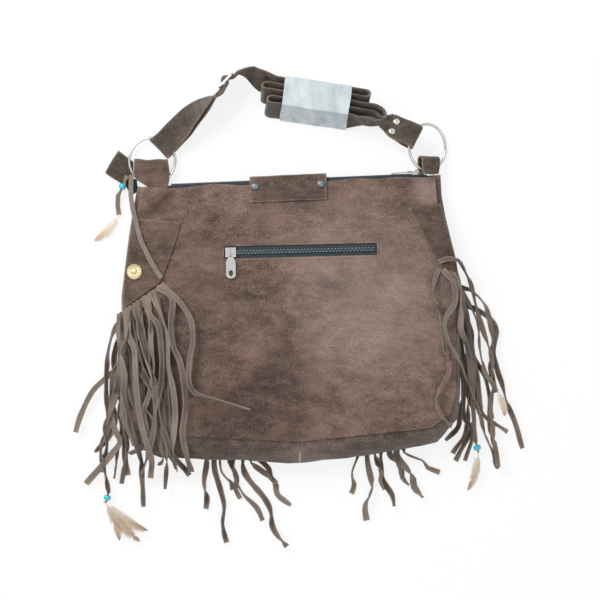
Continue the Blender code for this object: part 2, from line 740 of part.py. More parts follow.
def make_zips():
    pocket = framed("pocket_zip_frame", POCKET_ZIP_FRAME)
    make_flat_tapes(pocket)
    make_chain("pocket_zip_chain", POCKET_ZIP_LENGTH - 0.004, POCKET_TOOTH_PITCH, pocket)
    place = -POCKET_ZIP_LENGTH / 2 + SLIDER_LENGTH / 2 + 0.0015
    make_slider("pocket_zip_slider", pocket, place, math.radians(90))
    make_pull("pocket_zip_pull", pocket, place, math.radians(90))
    mouth = framed("top_zip_frame", TOP_ZIP_FRAME)
    make_mouth_tapes(mouth)
    make_chain("top_zip_chain", TOP_ZIP_LENGTH - 0.004, TOP_TOOTH_PITCH, mouth, TOP_ZIP_SHIFT)
    place = TOP_ZIP_SHIFT + TOP_ZIP_LENGTH / 2 - TOP_SLIDER_INSET
    make_slider("top_zip_slider", mouth, place, 0.0)
    make_pull("top_zip_pull", mouth, place, 0.0)


def make_pocket_lining():
    """The pocket bag: one folded cloth, its two mouths sewn to the pocket zip's tapes."""
    top = -(PANEL_SUEDE + CLEARANCE * 2 + TAPE_THICKNESS + LINING_THICKNESS / 2)
    reach = TAPE_WIDTH - 0.001
    profile = [(-reach + 0.004, top), (-reach, top), (-reach - 0.006, top - 0.0006),
               (-POCKET_DEPTH, top - 0.0008), (-POCKET_DEPTH - 0.0022, top - 0.0026),
               (-POCKET_DEPTH, top - 0.0044), (-reach, top - 0.0048), (0.0, top - 0.0044),
               (reach - 0.004, top - 0.0012), (reach - 0.001, top), (reach, top)]
    half = POCKET_ZIP_LENGTH / 2
    rows = [[Vector((-half, y, z)), Vector((half, y, z))] for y, z in profile]
    lining = sheet("pocket_lining", rows, LINING_THICKNESS, LINING, offset=0.0)
    lining.matrix_world = POCKET_ZIP_FRAME


# Rings, loops and strap

LOOP_LOW = BACK_SUEDE + CLEARANCE + LOOP_SUEDE / 2
RING_LEFT_Z = LOOP_LOW + LOOP_SUEDE / 2 + RING_PLAY + RING_WIRE
LOOP_LEFT_END = 0.1660
LOOP_HIGH = RING_LEFT_Z + RING_WIRE + RING_PLAY + LOOP_SUEDE / 2
RING_RIGHT_Z = RING_RADIUS * math.sin(RING_RIGHT_TILT) + RING_WIRE + CLEARANCE
RING_ALONG = Vector((math.cos(RING_RIGHT_TILT), 0.0, -math.sin(RING_RIGHT_TILT)))
RING_RIGHT = Vector((RING_RIGHT_X, RING_RIGHT_Y, RING_RIGHT_Z))
UP = Vector((0.0, 0.0, 1.0))


def make_rings():
    places = (("ring_left", (RING_LEFT_X, RING_LEFT_Y, RING_LEFT_Z), 0.0),
              ("ring_right", RING_RIGHT, RING_RIGHT_TILT))
    for name, place, tilt in places:
        bpy.ops.mesh.primitive_torus_add(major_radius=RING_RADIUS, minor_radius=RING_WIRE,
                                         major_segments=36, minor_segments=6)
        ring = bpy.context.object
        adopt(ring, name, STEEL)
        ring.location = place
        ring.rotation_euler = (0.0, tilt, 0.0)


def adopt(made, name, look):
    """Name a primitive, give it its look and move it to the bag's collection."""
    made.name = name
    made.data.name = name
    for owner in list(made.users_collection):
        owner.objects.unlink(made)
    BAG.objects.link(made)
    made.data.materials.append(material(look))
    made.data.shade_smooth()


def make_loop_left():
    """The left loop: a wide band gathered at the mouth, folded round the left ring."""
    fold = (LOOP_HIGH - LOOP_LOW) / 2
    end_y = LOOP_LEFT_END - fold
    base_high = rim_height(MOUTH_LEFT.y) - PANEL_SUEDE - CLEARANCE * 2 - LOOP_SUEDE / 2
    path = [(-0.1690, 0.1275, LOOP_LOW, 0.022), (-0.1690, 0.1345, LOOP_LOW, 0.024),
            (-0.175, 0.1430, LOOP_LOW, 0.040), (-0.176, 0.1540, LOOP_LOW, 0.042)]
    for k in range(7):
        angle = math.radians(-90 + 30 * k)
        path.append((-0.1765, end_y + fold * math.cos(angle), RING_LEFT_Z + fold * math.sin(angle), 0.040))
    path += [(-0.176, 0.1540, LOOP_HIGH, 0.042), (-0.175, 0.1430, LOOP_HIGH + 0.001, 0.040),
             (-0.169, 0.1345, base_high - 0.0006, 0.024), (-0.169, 0.1275, base_high, 0.022)]
    band("loop_left", [(Vector((x, y, z)), Vector((width, 0.0, 0.0))) for x, y, z, width in path],
         LOOP_SUEDE, DARK_SUEDE)


def make_loop_right():
    """The right loop stands on the mouth's corner and leans with the right ring's wire."""
    fold = RING_WIRE + RING_PLAY + 0.0008 + LOOP_SUEDE / 2
    normal = RING_ALONG.cross(Vector((0.0, 1.0, 0.0)))
    base_y = MOUTH_RIGHT.y + 0.0005
    end_y = LOOP_RIGHT_END - fold
    path = [(base_y, -fold, 0.022), (base_y + 0.008, -fold, 0.026)]
    for k in range(7):
        angle = math.radians(-90 + 30 * k)
        path.append((end_y + fold * math.cos(angle), fold * math.sin(angle), 0.027))
    path += [(base_y + 0.008, fold, 0.026), (base_y, fold, 0.022)]
    stations = []
    for y, lift, width in path:
        centre = Vector((RING_RIGHT_X, y, RING_RIGHT_Z)) + normal * lift
        stations.append((centre + RING_ALONG * LOOP_RIGHT_SHIFT, RING_ALONG * width))
    band("loop_right", stations, LOOP_SUEDE, DARK_SUEDE)


LOOP_RIGHT_SHIFT = 0.002
LOOP_RIGHT_END = 0.1690


def flat_piece(name, outline, top, thickness, look):
    builder = bmesh.new()
    face = builder.faces.new([builder.verts.new((x, y, top)) for x, y in outline])
    face.normal_update()
    if face.normal.z < 0:
        face.normal_flip()
    made = add_object(name, builder, look)
    add_solidify(made, thickness)
    return made


def make_loop_tail():
    """The square-cut end of the loop's suede, which lies out to the left under the ring."""
    flat_piece("loop_tail", [(-0.2160, 0.1782), (-0.2321, 0.1510), (-0.2118, 0.1383),
                             (-0.1984, 0.1440), (-0.1976, 0.1640)],
               LOOP_LOW + LOOP_SUEDE / 2, LOOP_SUEDE, DARK_SUEDE)


SLIDE_HALF = STRAP_WIDTH / 2 + 0.0008 + SLIDE_BAR
SLIDE_Z = SLIDE_HALF + SLIDE_BAR + CLEARANCE
SLIDE_ALONG = Vector((math.cos(SLIDE_TURN), math.sin(SLIDE_TURN), 0.0))
SLIDE_SIDE = Vector((-math.sin(SLIDE_TURN), math.cos(SLIDE_TURN), 0.0))
SLIDE_AT = Vector((SLIDE_X, SLIDE_Y, SLIDE_Z))
BUNDLE_Z = CLEARANCE * 3 + SLEEVE_WALL + STRAP_WIDTH / 2
BUNDLE_ALONG = Vector((math.cos(BUNDLE_TURN), math.sin(BUNDLE_TURN), 0.0))
BUNDLE_SIDE = Vector((-math.sin(BUNDLE_TURN), math.cos(BUNDLE_TURN), 0.0))
BUNDLE_AT = Vector((BUNDLE_X, BUNDLE_Y, BUNDLE_Z))


def in_slide(along, side):
    return SLIDE_AT + SLIDE_ALONG * along + SLIDE_SIDE * side


def in_bundle(along, side):
    return BUNDLE_AT + BUNDLE_ALONG * along + BUNDLE_SIDE * side


def make_strap_slide():
    """The bar slide, on edge: a rounded frame of wire with a middle bar."""
    path = []
    bend = 0.003
    for sx, sz in ((1, 1), (-1, 1), (-1, -1), (1, -1)):
        centre = Vector((sx * (SLIDE_PITCH - bend), 0.0, sz * (SLIDE_HALF - bend)))
        first = {(1, 1): 0, (-1, 1): 90, (-1, -1): 180, (1, -1): 270}[(sx, sz)]
        for k in range(4):
            angle = math.radians(first + 30 * k)
            path.append(centre + Vector((math.cos(angle), 0.0, math.sin(angle))) * bend)
    frame = wire_mesh("strap_slide", path, SLIDE_BAR, cyclic=True)
    frame.location = SLIDE_AT
    frame.rotation_euler.z = SLIDE_TURN
    bar = wire_mesh("strap_slide_bar", [Vector((0.0, 0.0, -SLIDE_HALF)), Vector((0.0, 0.0, SLIDE_HALF))],
                    SLIDE_BAR * 0.98)
    bar.location = SLIDE_AT
    hide_cutter(bar)
    add_boolean(frame, bar, "UNION")


RING_PHASE = math.radians(150)
RING_RADIAL = RING_ALONG * math.cos(RING_PHASE) + Vector((0.0, math.sin(RING_PHASE), 0.0))
RING_TANGENT = RING_ALONG * -math.sin(RING_PHASE) + Vector((0.0, math.cos(RING_PHASE), 0.0))
ANCHOR_AT = RING_RIGHT + RING_RADIAL * RING_RADIUS
ANCHOR_ALONG = Vector((-RING_TANGENT.y, RING_TANGENT.x, 0.0)).normalized()
ANCHOR_UP = ANCHOR_ALONG.cross(RING_TANGENT).normalized() * -1
ANCHOR_LOW = -0.0026
ANCHOR_HIGH = ANCHOR_LOW + STRAP_THICKNESS + CLEARANCE
ANCHOR_FOLD = 0.0036
RIVET_PLACES = ((-0.0225, -0.0068), (-0.0225, 0.0068))


def at_anchor(along, lift):
    return ANCHOR_AT + ANCHOR_ALONG * along + ANCHOR_UP * lift


def strap_stations():
    """The whole band: from the slide's middle bar round the left ring, back through the slide,
    to and fro in the folded spare length, and round the right ring."""
    reach = SLIDE_BAR + CLEARANCE + STRAP_THICKNESS / 2
    edge = Vector((0.0, 0.0, -STRAP_WIDTH))
    stations = []
    for k in range(8):
        angle = math.radians(130 - 31.4 * k)
        stations.append((in_slide(reach * math.cos(angle), reach * math.sin(angle)), edge))
    stations.append((in_slide(-0.005, -0.0036), edge))
    stations.append((in_slide(-SLIDE_PITCH, -0.0052), edge))
    stations += lower_run(-1)
    fold = (LOOP_HIGH - LOOP_LOW) / 2
    away = (Vector((*FOLD_AT, 0.0)) - Vector((*RUN_KNEE, 0.0))).normalized()
    flat = Vector((-away.y, away.x, 0.0)) * -STRAP_WIDTH
    for k in range(7):
        angle = math.radians(-90 + 30 * k)
        spot = Vector((*FOLD_AT, RING_LEFT_Z)) + away * (math.cos(angle) - 1) * fold
        stations.append((spot + UP * math.sin(angle) * fold, flat))
    stations += lower_run(1)[::-1]
    for k in range(13):
        along = -SLIDE_PITCH + SLIDE_PITCH * k / 6
        side = 0.00105 + 0.00375 * math.cos(math.pi * along / SLIDE_PITCH)
        stations.append((in_slide(along, side), edge))
    stations += spare_length()
    stations += anchor_end()
    return stations


FOLD_AT = Vector((-0.1672, 0.1788))
RUN_KNEE = Vector((-0.1200, 0.2255))


def lower_run(side):
    """One of the two plies between the slide and the left ring, turning from edge to flat."""
    near = in_slide(-SLIDE_PITCH - 0.004, -0.0040).to_2d()
    route = smooth_curve([near, RUN_KNEE, FOLD_AT.lerp(RUN_KNEE, 0.28), FOLD_AT.lerp(RUN_KNEE, 0.06)], 4)
    count = len(route) - 1
    stations = []
    for k, spot in enumerate(route):
        share = k / count
        ahead = route[min(k + 1, count)] - route[max(k - 1, 0)]
        along = Vector((*ahead.normalized(), 0.0))
        left = Vector((along.y, -along.x, 0.0))
        turn = math.radians(90) * min(max((share - 0.05) / 0.62, 0.0), 1.0)
        normal = left * math.cos(turn) + UP * math.sin(turn)
        across = UP * -math.cos(turn) + left * math.sin(turn)
        height = RING_LEFT_Z + (SLIDE_Z - RING_LEFT_Z) * math.cos(turn)
        gap = 0.0012 + ((LOOP_HIGH - LOOP_LOW) / 2 - 0.0012) * math.sin(turn)
        stations.append((Vector((*spot, height)) + normal * gap * side, across * STRAP_WIDTH))
    return stations


def spare_length():
    """The folded spare length: level runs on edge, joined by half turns at alternate ends."""
    edge = Vector((0.0, 0.0, -STRAP_WIDTH))
    top = FOLD_PITCH * (FOLD_COUNT - 1) / 2
    lean = (UP * -math.cos(math.radians(28)) - BUNDLE_SIDE * math.sin(math.radians(28))) * STRAP_WIDTH
    stations = [(in_slide(SLIDE_PITCH + 0.006, -0.0030), edge),
                (in_bundle(-0.078, top + 0.003), lean), (in_bundle(-0.066, top + 0.001), lean),
                (in_bundle(-0.050, top), edge)]
    half = FOLD_PITCH / 2
    for k in range(FOLD_COUNT - 1):
        side = top - FOLD_PITCH * k
        direction = 1 if k % 2 == 0 else -1
        end = FOLD_ENDS[k % len(FOLD_ENDS)] * direction
        for step in range(7):
            angle = math.radians(90 - 30 * step)
            stations.append((in_bundle(end + direction * half * math.cos(angle),
                                       side - half + half * math.sin(angle)), edge))
    stations.append((in_bundle(0.038, -top), edge))
    return stations


FOLD_ENDS = (0.056, 0.060, 0.078, 0.052)


def anchor_end():
    """The band's right end: it rises to the ring, goes round its wire and back over itself."""
    width = -RING_TANGENT * (STRAP_WIDTH - 0.001)
    low = -(0.0021 + RING_WIRE + RING_PLAY + STRAP_THICKNESS / 2)
    high = RING_WIRE + RING_PLAY + STRAP_THICKNESS / 2
    fold = (high - low) / 2
    start = in_bundle(0.038, -FOLD_PITCH * (FOLD_COUNT - 1) / 2)
    finish = at_anchor(-0.031, ANCHOR_LOW)
    stations = []
    for share in (0.35, 0.7):
        across = (Vector((0.0, 0.0, -STRAP_WIDTH)).lerp(width, share)).normalized() * STRAP_WIDTH
        stations.append((start.lerp(finish, share) + Vector((0.0, -0.003, 0.0)), across))
    stations += [(finish, width), (at_anchor(-0.017, ANCHOR_LOW), width),
                 (at_anchor(-0.007, low + 0.0004), width)]
    for k in range(7):
        angle = math.radians(-90 + 30 * k)
        stations.append((at_anchor(ANCHOR_FOLD + fold * math.cos(angle), (high + low) / 2 + fold * math.sin(angle)),
                         width))
    stations += [(at_anchor(-0.007, high - 0.0010), width), (at_anchor(-0.017, ANCHOR_HIGH), width),
                 (at_anchor(-0.028, ANCHOR_HIGH), width)]
    return stations


def anchor_frame(along, across):
    """A frame at a rivet: its Z stands square to the strap's right end."""
    place = at_anchor(along, (ANCHOR_LOW + ANCHOR_HIGH) / 2) + RING_TANGENT * across
    turn = Matrix((ANCHOR_ALONG, ANCHOR_UP.cross(ANCHOR_ALONG), ANCHOR_UP)).transposed().to_4x4()
    return Matrix.Translation(place) @ turn


def make_strap():
    strap = band("strap", strap_stations(), STRAP_THICKNESS, STRIP_SUEDE)
    for k, (along, across) in enumerate(RIVET_PLACES):
        bpy.ops.mesh.primitive_cylinder_add(vertices=12, radius=RIVET_SHANK + CLEARANCE, depth=0.02)
        punch = bpy.context.object
        punch.name = f"rivet_hole_{k}"
        punch.matrix_world = anchor_frame(along, across)
        hide_cutter(punch)
        add_boolean(strap, punch)


def make_rivets():
    """The two hollow rivets that close the strap's end round the right ring."""
    half = STRAP_THICKNESS + CLEARANCE * 1.5
    head = RIVET_RADIUS
    profile = [(0.0, half), (0.0011, half), (0.0013, half + 0.0009), (0.0020, half + 0.0011),
               (head, half + 0.0003), (head, half), (RIVET_SHANK, half), (RIVET_SHANK, -half),
               (head, -half), (head, -half - 0.0005), (0.0, -half - 0.0008)]
    for k, (along, across) in enumerate(RIVET_PLACES):
        rivet = turned(("rivet_upper", "rivet_lower")[k], profile, STEEL, 16)
        rivet.matrix_world = anchor_frame(along, across)


def make_sleeve():
    """The white sleeve that holds the folded spare length together."""
    half_side = FOLD_PITCH * (FOLD_COUNT - 1) / 2 + STRAP_THICKNESS / 2 + CLEARANCE * 5 + SLEEVE_WALL
    half_high = STRAP_WIDTH / 2 + CLEARANCE * 2 + SLEEVE_WALL
    bend = 0.0012
    rows = []
    for sx, sz, first in ((1, 1, 0), (-1, 1, 90), (-1, -1, 180), (1, -1, 270)):
        for k in range(4):
            angle = math.radians(first + 30 * k)
            side = sx * (half_side - bend) + bend * math.cos(angle)
            lift = sz * (half_high - bend) + bend * math.sin(angle)
            rows.append([in_bundle(end, side) + UP * lift for end in (SLEEVE_LENGTH / 2, -SLEEVE_LENGTH / 2)])
    sleeve = sheet("strap_wrap", rows, SLEEVE_WALL, SLEEVE, closed=True)
    return sleeve


# Fringes: strips cut from one header, laid over the bag and the table in layers

HEADER_LIFT = CLEARANCE + FACING_SLACK + YOKE_SUEDE / 2 + 0.0003
TABLE_LEVEL = STRIP_THICKNESS / 2 + CLEARANCE * 0.7
LEVEL_RAMP = 0.008
BASE_HOLD = 0.006


def strip_route(start, setting_out, end, bow):
    """Plan of one strip: it sets out from the header, then swings to its end with a bow."""
    span = (end - start).length
    first = start + setting_out * span * 0.35
    side = Vector((-(end - start).y, (end - start).x)).normalized()
    second = start.lerp(end, 0.62) + side * bow
    points = []
    for k in range(41):
        t = k / 40
        u = 1 - t
        points.append(start * u ** 3 + first * 3 * u * u * t + second * 3 * u * t * t + end * t ** 3)
    return points


def lay_strip(route, layer, table_level):
    """Put a plan route on the bag or the table, as few points as its shape needs."""
    laid = []
    travelled = 0.0
    for k, spot in enumerate(route):
        if k:
            travelled += (spot - route[k - 1]).length
        ramp = min(travelled / LEVEL_RAMP, 1.0)
        lift = HEADER_LIFT + STRIP_LAYER * (1 + layer) * ramp
        height = rest_height(spot.x, spot.y, STRIP_WIDTH / 2, table_level, lift)
        laid.append(Vector((spot.x, spot.y, height)))
    return thin_out(laid, 0.0007)


BEAD_TAIL = 0.013
BEAD_PLACE = 0.0072


def end_direction(laid):
    """Which way a laid strip points in plan where it ends."""
    ahead = laid[-1] - laid[-2]
    return Vector((ahead.x, ahead.y, 0.0)).normalized()


def fringe(name, top_line, out, strips, on_bag, bead_strip=None, bead="", hold=0.0):
    """A fringe: a header along top_line and one strip for each (end x, end y, bow, layer)."""
    builder = bmesh.new()
    count = len(strips)
    along = (top_line[1] - top_line[0]).normalized()
    spread = (top_line[1] - top_line[0]).length / count
    cells = []
    for k in range(count):
        for share in (k + 0.06, k + 0.94):
            top = top_line[0] + along * spread * share
            foot = top + out * FRINGE_HEADER
            if on_bag:
                heights = [skin_height(p.x, p.y, DRAPE_RUN) + HEADER_LIFT for p in (top, foot)]
            else:
                heights = [TABLE_LEVEL, TABLE_LEVEL]
            cells.append((builder.verts.new((*top, heights[0])), builder.verts.new((*foot, heights[1]))))
    for (top_a, foot_a), (top_b, foot_b) in zip(cells, cells[1:]):
        builder.faces.new((top_a, top_b, foot_b, foot_a))
    for k, (end_x, end_y, bow, layer) in enumerate(strips):
        a, b = cells[2 * k][1], cells[2 * k + 1][1]
        start = (a.co + b.co) / 2
        if on_bag:
            level = TABLE_LEVEL + STRIP_LAYER * (3 + layer)
        else:
            level = TABLE_LEVEL + STRIP_LAYER * layer
        route = strip_route(start.to_2d(), out, Vector((end_x, end_y)), bow)
        if on_bag:
            laid = lay_strip(route, layer, level)
        else:
            laid = lay_low(route, level, hold)
        if k == bead_strip:
            ahead = end_direction(laid)
            make_bead(bead, laid[-1] + ahead * BEAD_PLACE, math.atan2(ahead.x, -ahead.y))
            laid = laid + [laid[-1] + ahead * 0.002, laid[-1] + ahead * BEAD_TAIL]
        turned_left = along.x * out.y - along.y * out.x > 0
        for m in range(1, len(laid)):
            ahead = laid[min(m + 1, len(laid) - 1)] - laid[m - 1]
            width = BEAD_NECK if k == bead_strip and m >= len(laid) - 2 else STRIP_WIDTH
            square = Vector((ahead.y, -ahead.x, 0.0)).normalized() * width / 2
            if not turned_left:
                square = -square
            near = builder.verts.new(laid[m] - square)
            far = builder.verts.new(laid[m] + square)
            builder.faces.new((a, b, far, near))
            a, b = near, far
    bmesh.ops.recalc_face_normals(builder, faces=builder.faces)
    made = add_object(name, builder, STRIP_SUEDE)
    add_solidify(made, STRIP_THICKNESS, offset=0.0)


def lay_low(route, level, hold):
    """Lay a strip from under the bag: at the header's level for hold, then up to its own level."""
    laid = []
    travelled = 0.0
    for k, spot in enumerate(route):
        if k:
            travelled += (spot - route[k - 1]).length
        ramp = min(max(travelled - hold, 0.0) / LEVEL_RAMP, 1.0)
        laid.append(Vector((spot.x, spot.y, TABLE_LEVEL + (level - TABLE_LEVEL) * ramp)))
    return thin_out(laid, 0.0007)


def base_edge(x):
    """Where the back panel's lower edge is, at a place across the base."""
    outline = back_outline()
    for low, high in zip(outline, outline[1:]):
        if low.y < -0.1 and min(low.x, high.x) <= x <= max(low.x, high.x):
            return low.lerp(high, (x - low.x) / (high.x - low.x)).y
    return BASE_Y


def make_fringes():
    edge = YOKE_LEFT_OUTER[-1] - YOKE_LEFT_INNER[-1]
    away = Vector((-edge.y, edge.x)).normalized()
    gap = CLEARANCE * 2
    fringe("fringe_left_upper", [YOKE_LEFT_INNER[-1] + away * gap, YOKE_LEFT_OUTER[-1] + away * gap], away,
           LEFT_UPPER, True, bead_strip=8, bead="bead_left_lower")
    edge = YOKE_RIGHT_OUTER[-1] - YOKE_RIGHT_INNER[-1]
    away = Vector((edge.y, -edge.x)).normalized()
    fringe("fringe_right_upper", [YOKE_RIGHT_INNER[-1] + away * gap, YOKE_RIGHT_OUTER[-1] + away * gap], away,
           RIGHT_UPPER, True, bead_strip=3, bead="bead_right")
    side = SIDE_BULGE * BACK_INSET_SHARE + gap
    fringe("fringe_left_lower", [Vector((SIDE_LEFT_X - side, -0.015)), Vector((SIDE_LEFT_X - side, -0.095))],
           Vector((-0.8, -0.6)), LEFT_LOWER, False)
    fringe("fringe_right_lower", [Vector((SIDE_RIGHT_X + side, 0.010)), Vector((SIDE_RIGHT_X + side, -0.070))],
           Vector((0.8, -0.6)), RIGHT_LOWER, False)
    for name, span, strips in (("fringe_base_left", (-0.112, -0.044), BASE_LEFT),
                               ("fringe_base_right", (0.066, 0.128), BASE_RIGHT)):
        ends = [Vector((x, base_edge(x) - gap)) for x in span]
        fringe(name, ends, Vector((0.0, -1.0)), strips, False, hold=BASE_HOLD)


LEFT_UPPER = ((-0.0585, -0.1265, 0.060, 2), (-0.1300, -0.2070, 0.018, 1), (-0.1475, -0.2000, 0.006, 0),
              (-0.1600, -0.2240, 0.010, 2), (-0.1855, -0.2450, -0.012, 1), (-0.1780, -0.1860, 0.006, 0),
              (-0.2090, -0.2236, 0.008, 2), (-0.2030, -0.1830, -0.006, 1), (-0.2269, -0.2275, 0.002, 0),
              (-0.2542, -0.2183, 0.012, 2), (-0.2330, -0.1650, -0.010, 1))
LEFT_LOWER = ((-0.2640, -0.1617, -0.004, 0), (-0.2440, -0.1800, -0.008, 1), (-0.2370, -0.2040, -0.009, 2),
              (-0.2290, -0.1930, -0.011, 0), (-0.2210, -0.2120, -0.008, 1), (-0.2120, -0.2180, -0.011, 2),
              (-0.2040, -0.2080, -0.009, 0))
RIGHT_UPPER = ((0.1730, -0.1664, 0.014, 0), (0.1827, -0.1817, -0.014, 1), (0.1964, -0.1910, 0.012, 2),
               (0.2083, -0.1680, -0.004, 0), (0.2347, -0.2006, -0.018, 1), (0.2450, -0.1780, -0.024, 2),
               (0.2640, -0.1758, -0.034, 0), (0.2335, -0.1075, -0.016, 1))
RIGHT_LOWER = ((0.2560, -0.1420, -0.010, 0), (0.2380, -0.1650, -0.012, 1), (0.2230, -0.1560, 0.006, 2),
               (0.2180, -0.1790, -0.008, 0), (0.2040, -0.1640, 0.004, 1), (0.1920, -0.1740, 0.010, 2))
BASE_LEFT = ((-0.1127, -0.2484, -0.006, 0), (-0.0870, -0.2880, 0.006, 1), (-0.0708, -0.2360, 0.004, 0),
             (-0.0450, -0.2620, -0.006, 2), (-0.0145, -0.2922, 0.008, 1), (-0.0109, -0.2439, 0.012, 0),
             (-0.0283, -0.2177, 0.004, 2))
BASE_RIGHT = ((0.0607, -0.2300, -0.004, 0), (0.0787, -0.2620, 0.010, 1), (0.0998, -0.2254, 0.004, 0),
              (0.1119, -0.2454, -0.006, 2), (0.1290, -0.2200, 0.004, 0), (0.1463, -0.2336, 0.008, 1),
              (0.1660, -0.2053, 0.010, 2))


# Thongs, beads, concho and feathers

def thong(name, points, thickness, look=STRIP_SUEDE):
    """A narrow lace along chosen (x, y, z, width) points; width narrows where a bead sits."""
    centres = [Vector(point[:3]) for point in points]
    stations = []
    for k, (centre, point) in enumerate(zip(centres, points)):
        ahead = centres[min(k + 1, len(points) - 1)] - centres[max(k - 1, 0)]
        square = Vector((ahead.y, -ahead.x, 0.0)).normalized()
        stations.append((centre, square * point[3]))
    band(name, stations, thickness, look)


LACE = 0.0055
BEAD_NECK = 0.0030


def make_thongs():
    over = YOKE_SUEDE + FACING_SLACK + 0.0032
    points = [(-0.1995, 0.1475, 0.0100, LACE), (-0.2003, 0.1360, 0.0115, LACE)]
    for x, y in ((-0.2000, 0.1240), (-0.1975, 0.1080), (-0.1925, 0.0880), (-0.1870, 0.0690),
                 (-0.1780, 0.0500), (-0.1680, 0.0330), (-0.1630, 0.0260)):
        points.append((x, y, skin_height(x, y, DRAPE_RUN) + over, LACE))
    thong("thong_long", points, STRIP_THICKNESS)
    points = [(-0.2050, 0.1470, 0.0076, LACE), (-0.2085, 0.1400, 0.0072, BEAD_NECK)]
    points += [(-0.2130, 0.1290, 0.0060, BEAD_NECK), (-0.2160, 0.1240, 0.0050, LACE),
               (-0.2165, 0.1130, 0.0030, LACE), (-0.2150, 0.1010, 0.0020, LACE)]
    thong("thong_short", points, STRIP_THICKNESS)


def make_bead(name, place, turn):
    """A pony bead: a short barrel round its lace."""
    bpy.ops.mesh.primitive_torus_add(major_radius=(BEAD_RADIUS + BEAD_HOLE) / 2,
                                     minor_radius=(BEAD_RADIUS - BEAD_HOLE) / 2,
                                     major_segments=14, minor_segments=8)
    bead = bpy.context.object
    bead.data.transform(Matrix.Diagonal((1.0, 1.0, 2.7, 1.0)))
    adopt(bead, name, TURQUOISE)
    bead.location = place
    bead.rotation_euler = (math.radians(90), 0.0, turn)


def make_beads():
    make_bead("bead_left_upper", (-0.2108, 0.1345, 0.0066), math.radians(-22))


def make_concho():
    """The round ornament: a low fluted dish with a boss, pressed from thin sheet."""
    builder = bmesh.new()
    spokes = CONCHO_FLUTES * 2
    rings = ((0.30, 0.0024, 0.0), (0.38, 0.0012, 0.0), (0.86, 0.0014, 0.0004), (1.0, 0.0005, 0.0003))
    loops = []
    for share, height, flute in rings:
        loop = []
        for k in range(spokes):
            angle = 2 * math.pi * k / spokes
            radius = CONCHO_RADIUS * (share if k % 2 else share - flute * 80)
            lift = height + (flute if k % 2 else -flute)
            loop.append(builder.verts.new((radius * math.cos(angle), radius * math.sin(angle), lift)))
        loops.append(loop)
    crown = builder.verts.new((0.0, 0.0, 0.0029))
    for k in range(spokes):
        ahead = (k + 1) % spokes
        builder.faces.new((crown, loops[0][k], loops[0][ahead]))
        for inner, outer in zip(loops, loops[1:]):
            builder.faces.new((inner[k], outer[k], outer[ahead], inner[ahead]))
    rim = [edge for edge in builder.edges if edge.is_boundary]
    skirt = bmesh.ops.extrude_edge_only(builder, edges=rim)["geom"]
    for vert in [item for item in skirt if isinstance(item, bmesh.types.BMVert)]:
        vert.co.z = 0.0
    lower = [edge for edge in builder.edges if edge.is_boundary]
    bmesh.ops.contextual_create(builder, geom=lower)
    bmesh.ops.recalc_face_normals(builder, faces=builder.faces)
    concho = add_object("concho", builder, GOLD, smooth=False)
    concho.matrix_world = on_skin(CONCHO_X, CONCHO_Y, FACING_SLACK + YOKE_SUEDE + CLEARANCE * 5)


CONCHO_X = -0.1945
CONCHO_Y = 0.0330


def make_feather(name, root, tip, half_width, height, bow=0.0):
    """A small feather: a thin leaf from its quill to its tip, a little arched along its rib."""
    along = Vector(tip) - Vector(root)
    square = Vector((-along.y, along.x)).normalized()
    rows = []
    for k in range(9):
        t = k / 8
        width = half_width * (0.10 + 0.95 * math.sin(math.pi * min(t * 1.02, 1.0) ** 0.75) ** 0.8)
        middle = Vector(root) + along * t + square * bow * math.sin(math.pi * t)
        row = []
        for side in (-1.0, 0.0, 1.0):
            spot = middle + square * width * side
            lift = height + 0.0008 * (1 - abs(side)) * math.sin(math.pi * t)
            row.append(Vector((spot.x, spot.y, lift)))
        rows.append(row)
    sheet(name, rows, FEATHER_THICKNESS, FEATHER)


def make_feathers():
    for name, root, tip, half_width, height, bow in FEATHERS:
        make_feather(name, root, tip, half_width, height, bow)


FEATHERS = (
    ("feather_left_upper", (-0.2150, 0.1003), (-0.2450, 0.0700), 0.0060, 0.0016, 0.003),
    ("feather_left_long", (-0.2304, -0.2413), (-0.1790, -0.2740), 0.0065, 0.0082, -0.004),
    ("feather_left_middle", (-0.2304, -0.2413), (-0.1890, -0.2870), 0.0070, 0.0067, -0.003),
    ("feather_left_short", (-0.2304, -0.2413), (-0.2140, -0.2860), 0.0060, 0.0052, 0.003),
    ("feather_right_long", (0.2117, -0.1810), (0.1985, -0.2270), 0.0055, 0.0066, 0.003),
    ("feather_right_outer", (0.2340, -0.1082), (0.2430, -0.1380), 0.0050, 0.0082, 0.002),
)


def make_top_tape_end():
    """The dark end of the mouth's tape, which lies out past the left loop."""
    outline = [(-0.2080, 0.1370), (-0.2010, 0.1240), (-0.1925, 0.1290), (-0.1940, 0.1430), (-0.2055, 0.1470)]
    flat_piece("top_zip_tape_end", outline, CLEARANCE + TAPE_THICKNESS, TAPE_THICKNESS, TAPE)


def main():
    make_front_panel()
    make_back_panel()
    make_gussets()
    make_facings()
    make_closure_tab()
    make_tab_studs()
    make_zips()
    make_pocket_lining()
    make_rings()
    make_loop_left()
    make_loop_right()
    make_loop_tail()
    make_strap_slide()
    make_strap()
    make_rivets()
    make_sleeve()
    make_fringes()
    make_thongs()
    make_beads()
    make_concho()
    make_feathers()
    make_top_tape_end()


clear_scene()
BAG = new_collection("fringed_suede_bag")
CUTTERS = new_collection("cutters")
main()
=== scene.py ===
import math

import bmesh
import bpy
from mathutils import Matrix, Vector, noise
from mathutils.bvhtree import BVHTree


